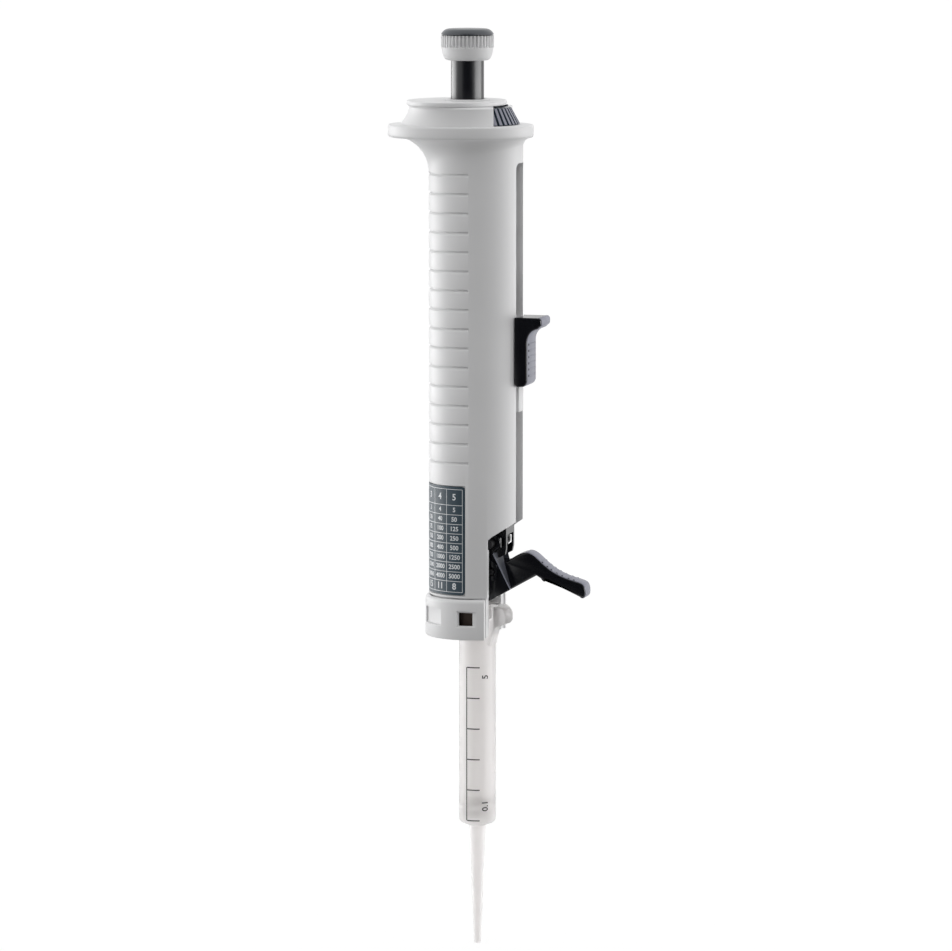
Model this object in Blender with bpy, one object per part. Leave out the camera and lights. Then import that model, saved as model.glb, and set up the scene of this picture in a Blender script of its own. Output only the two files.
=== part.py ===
"""Repeating pipette with a fitted dispensing tip: every piece at its real size, in metres, +Z up.

The origin is the open end of the tip's nozzle, on the tip's axis. +X is the front, where the fill slider
and the dispensing lever are. The pipette is upright, with the slider down, the lever up and the dial at 1.
"""

import math

import bmesh
import bpy
from mathutils import Matrix, Vector

MM = 0.001

# Clearances
SEAT_GAP = 0.3 * MM
SLIDE_GAP = 0.35 * MM

# Dispensing tip
NOZZLE_END_RADIUS = 1.17 * MM
NOZZLE_BORE_RADIUS = 0.5 * MM
NOZZLE_ROOT_RADIUS = 2.75 * MM
NOZZLE_LENGTH = 40.6 * MM
BARREL_RADIUS = 6.2 * MM
BARREL_WALL = 0.68 * MM
BARREL_SHOULDER = 2.8 * MM
TIP_LENGTH = 116.1 * MM
TIP_HEAD_RADIUS = 7.4 * MM
TIP_HEAD_HEIGHT = 4.1 * MM
WING_REACH = 12.33 * MM
WING_HALF_WIDTH = 4.2 * MM
WING_HEIGHT = 5.1 * MM
WING_GUSSET = 7.2 * MM
PISTON_ROD_RADIUS = 2.3 * MM
PISTON_HEAD_RADIUS = 4.2 * MM
PISTON_HEAD_HEIGHT = 4.3 * MM
SEAL_HEIGHT = 6.0 * MM

# Body tube: a round back and a longer, narrower front
BODY_CENTRE_X = -1.5 * MM
BODY_HALF_WIDTH = 14.8 * MM
BODY_BACK = 14.8 * MM
BODY_FRONT = 16.8 * MM
BODY_WALL = 2.2 * MM
BODY_LENGTH = 152.2 * MM

# Finger flange and the sweep under it
FLANGE_CENTRE_X = -5.76 * MM
FLANGE_HALF_LENGTH = 25.15 * MM
FLANGE_HALF_WIDTH = 20.6 * MM
FLANGE_THICKNESS = 5.0 * MM
FLANGE_EDGE = 0.9 * MM
SWEEP_BACK = 11.2 * MM
SWEEP_SIDE = 5.2 * MM
SWEEP_FRONT = 2.8 * MM

# Grip grooves around the back of the body
GROOVE_COUNT = 16
GROOVE_DROP = 11.0 * MM
GROOVE_PITCH = 6.39 * MM
GROOVE_HEIGHT = 1.0 * MM
GROOVE_DEPTH = 0.6 * MM
GROOVE_END_X = 0.7 * MM

# Slot for the fill slider, and the opening for the lever
SLOT_HALF_WIDTH = 3.35 * MM
SLOT_DROP = 7.5 * MM
OPENING_BACK_X = 7.36 * MM
OPENING_HEIGHT = 19.4 * MM
OPENING_SLOPE = math.radians(37.2)

# Label around the lower back
LABEL_RISE = 1.1 * MM
LABEL_HEIGHT = 36.4 * MM
LABEL_THICKNESS = 0.5 * MM

# Button, its stem and the guide bush, all on one axis with the volume dial
BUTTON_AXIS_X = -3.44 * MM
STEM_RADIUS = 5.5 * MM
STEM_SHOWN = 12.8 * MM
BUSH_WALL = 1.4 * MM
BUSH_DROP = 6.0 * MM
STEM_DROP = 4.0 * MM
RING_RADIUS = 8.8 * MM
RING_TAPER_HEIGHT = 4.3 * MM
RING_RIB_HEIGHT = 4.0 * MM
RING_RIBS = 40
CAP_HEIGHT = 2.6 * MM
BUTTON_TRAVEL = 8.0 * MM
EJECT_ROD_X = -10.6 * MM
EJECT_ROD_RADIUS = 1.5 * MM
SPRING_TURNS = 7
SPRING_WIRE_RADIUS = 0.35 * MM

# Volume dial and its cam
DIAL_BASE_RADIUS = 17.4 * MM
DIAL_TOP_RADIUS = 14.4 * MM
DIAL_HEIGHT = 5.2 * MM
DIAL_RIBS = 48
DIAL_RIB_DEPTH = 0.7 * MM
DIAL_HUB_WALL = 2.5 * MM
DIAL_RANGE = math.radians(240)
CAM_RISE = 4.08 * MM
CAM_HEIGHT = 6.0 * MM
CAM_WALL = 2.1 * MM
DETENT_OFFSET = 13.5 * MM
DETENT_BALL_RADIUS = 1.2 * MM

# Collar over the dial
COLLAR_CENTRE_X = -5.7 * MM
COLLAR_BASE_HALF_LENGTH = 20.3 * MM
COLLAR_BASE_HALF_WIDTH = 19.9 * MM
COLLAR_NECK_HALF_LENGTH = 17.2 * MM
COLLAR_NECK_HALF_WIDTH = 17.2 * MM
LIP_CENTRE_X = -6.9 * MM
LIP_HALF_LENGTH = 17.4 * MM
LIP_HALF_WIDTH = 17.9 * MM
LIP_THICKNESS = 2.0 * MM
WINDOW_BACK_X = 8.9 * MM
COLLAR_SCREW_RADIUS = 1.0 * MM
COLLAR_SCREW_X = -22.7 * MM
COLLAR_SCREW_Y = 4.0 * MM
COLLAR_SCREW_REACH = 1.9 * MM

# Piston drive: clamp, rack and carriage, all moved by the fill slider
FILL_STROKE = 51.0 * MM
CLAMP_BACK_X = -5.0 * MM
CLAMP_FRONT_X = 11.35 * MM
CLAMP_HALF_WIDTH = 5.4 * MM
CLAMP_DROP = 5.5 * MM
CLAMP_HEIGHT = 17.8 * MM
CLAMP_BORE_DEPTH = 6.3 * MM
CLAMP_BLOCK_HEIGHT = 8.3 * MM
JAW_HEIGHT = 1.2 * MM
FORK_HEIGHT = 8.1 * MM
FORK_WALL = 1.4 * MM
RACK_BACK_X = 3.2 * MM
RACK_FRONT_X = 8.0 * MM
RACK_HALF_WIDTH = 3.0 * MM
RACK_LENGTH = 67.2 * MM
TOOTH_DEPTH = 0.8 * MM
TOOTH_MARGIN = 1.5 * MM
JAW_SPAN = 62
CARRIAGE_DROP = 7.1 * MM
SCREW_RADIUS = 1.1 * MM

# Fill slider
SLIDER_HALF_WIDTH = 6.0 * MM
SLIDER_RISE = 68.8 * MM
SLIDER_HEIGHT = 24.3 * MM
SLIDER_STEM_X = 18.6 * MM
SLIDER_HOOK_X = 23.3 * MM
SLIDER_HOOK_HEIGHT = 3.0 * MM
SLIDER_BODY_GAP = 0.5 * MM
PIP_RADIUS = 0.45 * MM
PIP_PITCH = 2.2 * MM

# Dispensing lever
LEVER_PIVOT_X = 6.55 * MM
PIVOT_RISE = 17.9 * MM
LEVER_RANGE = math.radians(28)
LEVER_HALF_WIDTH = 6.0 * MM
CHEEK_INNER = 5.7 * MM
CHEEK_OUTER = 7.4 * MM
CHEEK_BOSS_RADIUS = 3.2 * MM
PIVOT_PIN_RADIUS = 1.5 * MM
CAM_PIN_RADIUS = 1.0 * MM
CAM_PIN_DROP = 9.5 * MM
CAM_PIN_FORWARD = 0.5 * MM

# Drive frame and the two pawls
DRIVE_TRAVEL = 5.1 * MM
RAIL_INNER = 7.7 * MM
RAIL_OUTER = 8.9 * MM
RAIL_BACK_X = -4.0 * MM
RAIL_FRONT_X = 3.8 * MM
DRIVE_FOOT = 3.0 * MM
DRIVE_HEAD = 4.4 * MM
BRIDGE_BACK_X = -8.7 * MM
BRIDGE_HEIGHT = 6.0 * MM
PAWL_PIN_RADIUS = 0.9 * MM
PAWL_PIN_X = -0.4 * MM
PAWL_REACH = 4.6 * MM
PAWL_HUB_RADIUS = 2.1 * MM
PAWL_HALF_WIDTH = 2.5 * MM
BRACKET_THICKNESS = 2.4 * MM
STOP_ROD_RADIUS = 1.4 * MM
STOP_ROD_ANGLE = math.radians(114)
GUIDE_PLATE_DROP = 42.0 * MM
GUIDE_PLATE_THICKNESS = 3.0 * MM

# Tip holder, its catches and the lock lever around it
HOLDER_HEIGHT = 13.2 * MM
HOLDER_INSET = 1.5 * MM
HOLDER_FRONT_X = 6.0 * MM
SPIGOT_HEIGHT = 6.2 * MM
SPIGOT_BORE = 11.5 * MM
SOCKET_HALF_WIDTH = 8.0 * MM
SEAT_BACK_X = -6.2 * MM
SEAT_THICKNESS = 2.8 * MM
CATCH_HALF_WIDTH = 2.8 * MM
CATCH_THICKNESS = 0.7 * MM
LOCK_HEIGHT = 13.5 * MM
LOCK_WALL = 1.45 * MM
LOCK_OUTSET = 1.25 * MM
LOCK_FRONT_X = 6.1 * MM
LOCK_PIVOT_X = 3.9 * MM
LOCK_PIVOT_RISE = 1.6 * MM
LOCK_PIN_RADIUS = 1.0 * MM
LOCK_RANGE = math.radians(12)
WINDOW_HALF_WIDTH = 3.1 * MM
WINDOW_RISE = 4.1 * MM
WINDOW_HEIGHT = 5.8 * MM
REAR_WINDOW_ANGLE = math.radians(222)

# Facets of round shapes
FINE_COUNT = 48
ROUND_COUNT = 32
SMALL_COUNT = 16
TINY_COUNT = 10

SIDES = (("near", -1), ("far", 1))

# Sizes worked out from those above
BARREL_BORE_RADIUS = BARREL_RADIUS - BARREL_WALL
BARREL_FLOOR = NOZZLE_LENGTH + BARREL_SHOULDER
SEAL_BOTTOM = BARREL_FLOOR + SEAT_GAP
SEAT_BOTTOM = TIP_LENGTH + SEAT_GAP
SEAT_TOP = SEAT_BOTTOM + SEAT_THICKNESS
HOLDER_TOP = SEAT_TOP + SEAT_GAP
HOLDER_BOTTOM = HOLDER_TOP - HOLDER_HEIGHT
BODY_BOTTOM = HOLDER_TOP + SEAT_GAP
LOCK_TOP = BODY_BOTTOM - 0.4 * MM
LOCK_BOTTOM = LOCK_TOP - LOCK_HEIGHT
LOCK_PIVOT_Z = HOLDER_BOTTOM + LOCK_PIVOT_RISE
WINDOW_BOTTOM = LOCK_BOTTOM + WINDOW_RISE
WINDOW_TOP = WINDOW_BOTTOM + WINDOW_HEIGHT
FLANGE_UNDERSIDE = BODY_BOTTOM + BODY_LENGTH
GROOVE_TOP = FLANGE_UNDERSIDE - GROOVE_DROP
SLOT_TOP = FLANGE_UNDERSIDE - SLOT_DROP
OPENING_CORNER_Z = BODY_BOTTOM + OPENING_HEIGHT
LABEL_BOTTOM = BODY_BOTTOM + LABEL_RISE
LABEL_TOP = LABEL_BOTTOM + LABEL_HEIGHT
GUIDE_PLATE_BOTTOM = FLANGE_UNDERSIDE - GUIDE_PLATE_DROP
LEVER_PIVOT_Z = BODY_BOTTOM + PIVOT_RISE
BODY_INNER_HALF = BODY_HALF_WIDTH - BODY_WALL
BODY_INNER_BACK = BODY_BACK - BODY_WALL
BODY_INNER_FRONT = BODY_FRONT - BODY_WALL
FLANGE_TOP = FLANGE_UNDERSIDE + FLANGE_THICKNESS
BUSH_INNER = STEM_RADIUS + SEAT_GAP
BUSH_OUTER = BUSH_INNER + BUSH_WALL
DIAL_BORE = BUSH_OUTER + SEAT_GAP
DIAL_HUB_RADIUS = DIAL_BORE + DIAL_HUB_WALL
DIAL_BOTTOM = FLANGE_TOP + 2 * SEAT_GAP
DIAL_TOP = DIAL_BOTTOM + DIAL_HEIGHT
LIP_BOTTOM = DIAL_TOP + 2 * SEAT_GAP
LIP_TOP = LIP_BOTTOM + LIP_THICKNESS
RING_BOTTOM = LIP_TOP + STEM_SHOWN
BUSH_BOTTOM = FLANGE_UNDERSIDE - BUSH_DROP
STEM_BOTTOM = BUSH_BOTTOM - STEM_DROP
CAM_TOP = FLANGE_UNDERSIDE - BUSH_DROP / 2
CAM_BOTTOM = CAM_TOP - CAM_HEIGHT
CAM_INNER = DIAL_BORE
CAM_OUTER = CAM_INNER + CAM_WALL
STOP_ROD_ORBIT = (CAM_INNER + CAM_OUTER) / 2
FOOT_TOP = STEM_BOTTOM - SEAT_GAP
FOOT_THICKNESS = 3.2 * MM
FOOT_BOTTOM = FOOT_TOP - FOOT_THICKNESS
CLAMP_BOTTOM = LEVER_PIVOT_Z - CLAMP_DROP
CLAMP_TOP = CLAMP_BOTTOM + CLAMP_HEIGHT
RACK_BOTTOM = CLAMP_BOTTOM + CLAMP_BLOCK_HEIGHT + SEAT_GAP
RACK_TOP = RACK_BOTTOM + RACK_LENGTH
HOLD_PAWL_PIN_Z = RACK_BOTTOM + FILL_STROKE + PAWL_REACH + 0.8 * MM
DRIVE_PAWL_PIN_Z = HOLD_PAWL_PIN_Z + PAWL_HUB_RADIUS + DRIVE_TRAVEL + PAWL_REACH + 2 * SEAT_GAP
BRACKET_BOTTOM = HOLD_PAWL_PIN_Z - PAWL_REACH - 0.6 * MM
DRIVE_BOTTOM = LEVER_PIVOT_Z - CAM_PIN_DROP - DRIVE_FOOT
DRIVE_TOP = DRIVE_PAWL_PIN_Z + DRIVE_HEAD
SLIDER_BOTTOM = BODY_BOTTOM + SLIDER_RISE
SLIDER_TOP = SLIDER_BOTTOM + SLIDER_HEIGHT
CARRIAGE_HALF_WIDTH = SLOT_HALF_WIDTH - SLIDE_GAP
CARRIAGE_BOTTOM = SLIDER_BOTTOM - CARRIAGE_DROP
CARRIAGE_TOP = SLOT_TOP - FILL_STROKE - SLIDE_GAP
CARRIAGE_BACK_X = RACK_FRONT_X + SEAT_GAP
CARRIAGE_FRONT_X = BODY_CENTRE_X + BODY_FRONT - 0.2 * MM
SLIDER_BACK_X = CARRIAGE_FRONT_X + SEAT_GAP
YOKE_BOTTOM = SEAT_TOP + SEAT_GAP + BUTTON_TRAVEL
YOKE_THICKNESS = 3.2 * MM
SPRING_BOTTOM = GUIDE_PLATE_BOTTOM + GUIDE_PLATE_THICKNESS + SEAT_GAP
SPRING_TOP = FOOT_BOTTOM - SEAT_GAP


# Materials

def make_material(name, colour, roughness, metallic=0.0):
    material = bpy.data.materials.get(name)
    if material:
        return material
    material = bpy.data.materials.new(name)
    material.use_nodes = True
    shader = material.node_tree.nodes["Principled BSDF"]
    shader.inputs["Base Color"].default_value = (*colour, 1.0)
    shader.inputs["Roughness"].default_value = roughness
    shader.inputs["Metallic"].default_value = metallic
    return material


def white_plastic():
    return make_material("white_plastic", (0.80, 0.80, 0.80), 0.4)


def navy_plastic():
    return make_material("navy_plastic", (0.018, 0.022, 0.035), 0.35)


def blue_grey_plastic():
    return make_material("blue_grey_plastic", (0.05, 0.09, 0.13), 0.35)


def grey_plastic():
    return make_material("grey_plastic", (0.30, 0.29, 0.29), 0.5)


def label_film():
    return make_material("label_film", (0.045, 0.07, 0.09), 0.4)


def tip_plastic():
    return make_material("tip_plastic", (0.74, 0.73, 0.72), 0.35)


def seal_rubber():
    return make_material("seal_rubber", (0.05, 0.05, 0.05), 0.7)


def steel():
    return make_material("steel", (0.55, 0.55, 0.56), 0.3, 1.0)


def dark_steel():
    return make_material("dark_steel", (0.09, 0.07, 0.065), 0.4, 1.0)


# Modelling helpers

def add_object(name, bm, material, location=(0.0, 0.0, 0.0)):
    """Makes one named object, with its origin at the given point of the joint that moves it."""
    bmesh.ops.recalc_face_normals(bm, faces=bm.faces)
    origin = Vector(location)
    bmesh.ops.translate(bm, verts=bm.verts, vec=-origin)
    mesh = bpy.data.meshes.new(name)
    bm.to_mesh(mesh)
    bm.free()
    mesh.shade_smooth()
    mesh.set_sharp_from_angle(angle=math.radians(35))
    mesh.materials.append(material)
    obj = bpy.data.objects.new(name, mesh)
    obj.location = origin
    bpy.context.scene.collection.objects.link(obj)
    return obj


def make_guide(obj):
    """Turns an object into a hidden cutter."""
    obj.hide_render = True
    obj.display_type = "WIRE"
    return obj


def add_boolean(obj, other, operation):
    make_guide(other)
    modifier = obj.modifiers.new(operation.lower(), "BOOLEAN")
    modifier.operation = operation
    modifier.object = other
    return obj


def cut(obj, cutter):
    return add_boolean(obj, cutter, "DIFFERENCE")


def unite(obj, other):
    return add_boolean(obj, other, "UNION")


def loft(name, rings, material, closed=False, location=(0.0, 0.0, 0.0)):
    """Skins a stack of rings. A closed stack joins its last ring to its first, as a tube does."""
    bm = bmesh.new()
    rows = [[bm.verts.new(point) for point in ring] for ring in rings]
    pairs = list(zip(rows, rows[1:]))
    if closed:
        pairs.append((rows[-1], rows[0]))
    count = len(rows[0])
    for low, high in pairs:
        for i in range(count):
            j = (i + 1) % count
            bm.faces.new((low[i], low[j], high[j], high[i]))
    if not closed:
        bm.faces.new(list(reversed(rows[0])))
        bm.faces.new(rows[-1])
    return add_object(name, bm, material, location)


def turned(name, profile, material, axis_x=0.0, axis_y=0.0, steps=ROUND_COUNT, location=(0.0, 0.0, 0.0)):
    """Turns a closed outline of (radius, height) points about an upright axis."""
    bm = bmesh.new()
    verts = [bm.verts.new((axis_x + radius, axis_y, height)) for radius, height in profile]
    edges = []
    for i, vert in enumerate(verts):
        j = (i + 1) % len(verts)
        if profile[i][0] > 0 or profile[j][0] > 0:
            edges.append(bm.edges.new((vert, verts[j])))
    bmesh.ops.spin(
        bm, geom=verts + edges, cent=(axis_x, axis_y, 0), axis=(0, 0, 1), angle=math.tau, steps=steps, use_merge=True
    )
    bmesh.ops.remove_doubles(bm, verts=bm.verts, dist=0.002 * MM)
    return add_object(name, bm, material, location)


def extruded(name, points, offset, material, location=(0.0, 0.0, 0.0)):
    """Extrudes a flat outline by a vector."""
    bm = bmesh.new()
    face = bm.faces.new([bm.verts.new(point) for point in points])
    swept = bmesh.ops.extrude_face_region(bm, geom=[face])
    moved = [item for item in swept["geom"] if isinstance(item, bmesh.types.BMVert)]
    bmesh.ops.translate(bm, verts=moved, vec=Vector(offset))
    return add_object(name, bm, material, location)


def side_plate(name, outline, y_low, y_high, material, location=(0.0, 0.0, 0.0)):
    """A plate whose outline is given in X and Z."""
    points = [(x, y_low, z) for x, z in outline]
    return extruded(name, points, (0, y_high - y_low, 0), material, location)


def flat_plate(name, outline, z_low, z_high, material, location=(0.0, 0.0, 0.0)):
    """A plate whose outline is given in X and Y."""
    points = [(x, y, z_low) for x, y in outline]
    return extruded(name, points, (0, 0, z_high - z_low), material, location)


def box(name, low, high, material, location=(0.0, 0.0, 0.0)):
    outline = [(low[0], low[1]), (high[0], low[1]), (high[0], high[1]), (low[0], high[1])]
    return flat_plate(name, outline, low[2], high[2], material, location)


def rod(name, start, end, radius, material, steps=SMALL_COUNT, location=(0.0, 0.0, 0.0)):
    """A straight round bar between two points."""
    start = Vector(start)
    end = Vector(end)
    along = end - start
    bm = bmesh.new()
    turn = Vector((0, 0, 1)).rotation_difference(along).to_matrix().to_4x4()
    turn.translation = (start + end) / 2
    turn = turn @ Matrix.Rotation(math.radians(7), 4, "Z")
    bmesh.ops.create_cone(
        bm, cap_ends=True, segments=steps, radius1=radius, radius2=radius, depth=along.length, matrix=turn
    )
    return add_object(name, bm, material, location)


def drill(obj, start, end, radius, steps=SMALL_COUNT):
    return cut(obj, rod(obj.name + "_drill", start, end, radius, white_plastic(), steps))


def arc(centre, radius, start, end, count):
    """Points of a circular arc in a plane, from one angle to another, both in degrees."""
    step = (end - start) / (count - 1)
    angles = [math.radians(start + step * i) for i in range(count)]
    return [(centre[0] + radius * math.cos(a), centre[1] + radius * math.sin(a)) for a in angles]


def egg_point(angle, centre_x, back, front, half):
    """A point of the body's plan: a back half-ellipse and a front half-ellipse that share their width."""
    reach = front if math.cos(angle) > 0 else back
    return centre_x + reach * math.cos(angle), half * math.sin(angle)


def egg(centre_x, back, front, half, count=FINE_COUNT):
    return [egg_point(math.tau * i / count, centre_x, back, front, half) for i in range(count)]


def body_outline(offset, count=FINE_COUNT):
    """The plan of the body's outer face, moved outward by an offset."""
    return egg(BODY_CENTRE_X, BODY_BACK + offset, BODY_FRONT + offset, BODY_HALF_WIDTH + offset, count)


def at_height(outline, z):
    return [(x, y, z) for x, y in outline]


def width_inside_body(x):
    """Half the width of the body's cavity at a place along X."""
    reach = BODY_INNER_FRONT if x > BODY_CENTRE_X else BODY_INNER_BACK
    return BODY_INNER_HALF * math.sqrt(1 - ((x - BODY_CENTRE_X) / reach) ** 2)


# Body shell

def sweep_radius(angle):
    """The fillet under the flange is large at the back, small at the front."""
    share = math.cos(angle) ** 2
    end = SWEEP_FRONT if math.cos(angle) > 0 else SWEEP_BACK
    return SWEEP_SIDE + (end - SWEEP_SIDE) * share


def flange_point(angle, inset):
    length = FLANGE_HALF_LENGTH - inset
    return egg_point(angle, FLANGE_CENTRE_X, length, length, FLANGE_HALF_WIDTH - inset)


def sweep_ring(level):
    """One ring of the sweep; level runs from 0, where it leaves the body, to 1, at the flange."""
    points = []
    for i in range(FINE_COUNT):
        angle = math.tau * i / FINE_COUNT
        radius = sweep_radius(angle)
        x, y = egg_point(angle, BODY_CENTRE_X, BODY_BACK, BODY_FRONT, BODY_HALF_WIDTH)
        end_x, end_y = flange_point(angle, FLANGE_EDGE)
        gap = math.hypot(end_x - x, end_y - y)
        out = radius * (1 - math.sqrt(1 - level**2))
        share = min(out / gap, 1.0)
        z = FLANGE_UNDERSIDE - radius * (1 - level)
        points.append((x + (end_x - x) * share, y + (end_y - y) * share, z))
    return points


def flange_ring(inset, z):
    return [(*flange_point(math.tau * i / FINE_COUNT, inset), z) for i in range(FINE_COUNT)]


def circle_ring(centre_x, radius, z, count=FINE_COUNT):
    return at_height(egg(centre_x, radius, radius, radius, count), z)


def body_shell():
    plate_bottom = FLANGE_UNDERSIDE + SEAT_GAP
    hole = DIAL_HUB_RADIUS + SEAT_GAP
    inner = egg(BODY_CENTRE_X, BODY_INNER_BACK, BODY_INNER_FRONT, BODY_INNER_HALF)
    rings = [at_height(body_outline(0.0), BODY_BOTTOM)]
    rings += [sweep_ring(level) for level in (0.0, 0.35, 0.62, 0.82, 0.94, 1.0)]
    rings += [flange_ring(FLANGE_EDGE, FLANGE_UNDERSIDE), flange_ring(0.0, FLANGE_UNDERSIDE + FLANGE_EDGE)]
    rings += [flange_ring(0.0, FLANGE_TOP - FLANGE_EDGE), flange_ring(FLANGE_EDGE, FLANGE_TOP)]
    rings += [circle_ring(BUTTON_AXIS_X, hole, FLANGE_TOP), circle_ring(BUTTON_AXIS_X, hole, plate_bottom)]
    rings += [at_height(inner, plate_bottom), at_height(inner, BODY_BOTTOM)]
    shell = loft("body_shell", rings, white_plastic(), closed=True)
    cut(shell, groove_cutter())
    cut(shell, lever_opening_cutter())
    cut(shell, slot_cutter())
    cut(shell, label_recess_cutter())
    for _, side in SIDES:
        reach = width_inside_body(LEVER_PIVOT_X) + BODY_WALL / 2
        start = (LEVER_PIVOT_X, side * CHEEK_INNER, LEVER_PIVOT_Z)
        drill(shell, start, (LEVER_PIVOT_X, side * reach, LEVER_PIVOT_Z), PIVOT_PIN_RADIUS + SEAT_GAP)
        drill_collar_screw(shell, side)
    pocket_x = BUTTON_AXIS_X - DETENT_OFFSET
    pocket_top = (pocket_x, 0, FLANGE_TOP + 1 * MM)
    drill(shell, (pocket_x, 0, FLANGE_TOP - 6.5 * MM), pocket_top, DETENT_BALL_RADIUS + SEAT_GAP)
    return shell


def drill_collar_screw(shell, side):
    """A clearance hole through the flange and a counterbore under it."""
    x = COLLAR_SCREW_X
    y = side * COLLAR_SCREW_Y
    below = FLANGE_UNDERSIDE - 3 * MM
    drill(shell, (x, y, below), (x, y, FLANGE_TOP + 1 * MM), COLLAR_SCREW_RADIUS + SEAT_GAP, TINY_COUNT)
    head = 1.9 * COLLAR_SCREW_RADIUS + SEAT_GAP
    drill(shell, (x, y, below), (x, y, FLANGE_UNDERSIDE + 2.0 * MM), head, SMALL_COUNT)


def groove_path(depth, end_x):
    """The route of a groove around the body's back, at a depth below its face."""
    half = BODY_HALF_WIDTH - depth
    back = BODY_BACK - depth
    count = 23
    points = [(end_x, -half)]
    for i in range(count + 1):
        angle = math.pi * 1.5 - math.pi * i / count
        points.append((BODY_CENTRE_X + back * math.cos(angle), half * math.sin(angle)))
    points.append((end_x, half))
    return points


def groove_cutter():
    """All the grip grooves: half-rings with sloping sides."""
    bm = bmesh.new()
    floor = groove_path(GROOVE_DEPTH, GROOVE_END_X)
    mouth = groove_path(-GROOVE_DEPTH, GROOVE_END_X)
    floor_half = 0.3 * GROOVE_HEIGHT
    mouth_half = 0.9 * GROOVE_HEIGHT
    for index in range(GROOVE_COUNT):
        z = GROOVE_TOP - index * GROOVE_PITCH
        rows = []
        for inner, outer in zip(floor, mouth):
            corners = [
                (*inner, z - floor_half),
                (*outer, z - mouth_half),
                (*outer, z + mouth_half),
                (*inner, z + floor_half),
            ]
            rows.append([bm.verts.new(corner) for corner in corners])
        for low, high in zip(rows, rows[1:]):
            for i in range(4):
                j = (i + 1) % 4
                bm.faces.new((low[i], low[j], high[j], high[i]))
        bm.faces.new(list(reversed(rows[0])))
        bm.faces.new(rows[-1])
    return add_object("groove_cutter", bm, white_plastic())


def opening_outline():
    """The front opening in side view: an upright back edge, then a slope up to the slot."""
    front = BODY_CENTRE_X + BODY_FRONT + 5 * MM
    rise = (front - OPENING_BACK_X) * math.tan(OPENING_SLOPE)
    bottom = BODY_BOTTOM - 2 * MM
    return [
        (OPENING_BACK_X, bottom),
        (front, bottom),
        (front, OPENING_CORNER_Z + rise),
        (OPENING_BACK_X, OPENING_CORNER_Z),
    ]


def lever_opening_cutter():
    reach = 2 * BODY_HALF_WIDTH
    return side_plate("opening_cutter", opening_outline(), -reach, reach, white_plastic())


def slot_cutter():
    """The slider's slot, rounded at its top and open into the lever's opening."""
    x_low = BODY_CENTRE_X + BODY_INNER_FRONT - 4 * MM
    x_high = BODY_CENTRE_X + BODY_FRONT + 2 * MM
    top = SLOT_TOP - SLOT_HALF_WIDTH
    outline = arc((0.0, top), SLOT_HALF_WIDTH, 0, 180, 13)
    outline += [(-SLOT_HALF_WIDTH, OPENING_CORNER_Z), (SLOT_HALF_WIDTH, OPENING_CORNER_Z)]
    points = [(x_low, y, z) for y, z in outline]
    return extruded("slot_cutter", points, (x_high - x_low, 0, 0), white_plastic())


def label_outline(inset, outset):
    """Plan of the label: the back half of a ring between two depths below the body's face."""
    outer = arc((BODY_CENTRE_X, 0.0), BODY_BACK + outset, 90, 270, 24)
    inner = arc((BODY_CENTRE_X, 0.0), BODY_BACK - inset, 270, 90, 24)
    return outer + inner


def label_recess_cutter():
    outline = label_outline(LABEL_THICKNESS + SEAT_GAP, 1 * MM)
    return flat_plate("label_cutter", outline, LABEL_BOTTOM - SEAT_GAP, LABEL_TOP + SEAT_GAP, white_plastic())


def label_plate():
    trim = math.degrees(SEAT_GAP / BODY_BACK)
    outer = arc((BODY_CENTRE_X, 0.0), BODY_BACK, 90 + trim, 270 - trim, 25)
    inner = arc((BODY_CENTRE_X, 0.0), BODY_BACK - LABEL_THICKNESS, 270 - trim, 90 + trim, 25)
    return flat_plate("label_plate", outer + inner, LABEL_BOTTOM, LABEL_TOP, label_film())


# Collar over the dial

def collar_ring(half_length, half_width, z, centre_x=COLLAR_CENTRE_X):
    return at_height(egg(centre_x, half_length, half_length, half_width), z)


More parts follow.
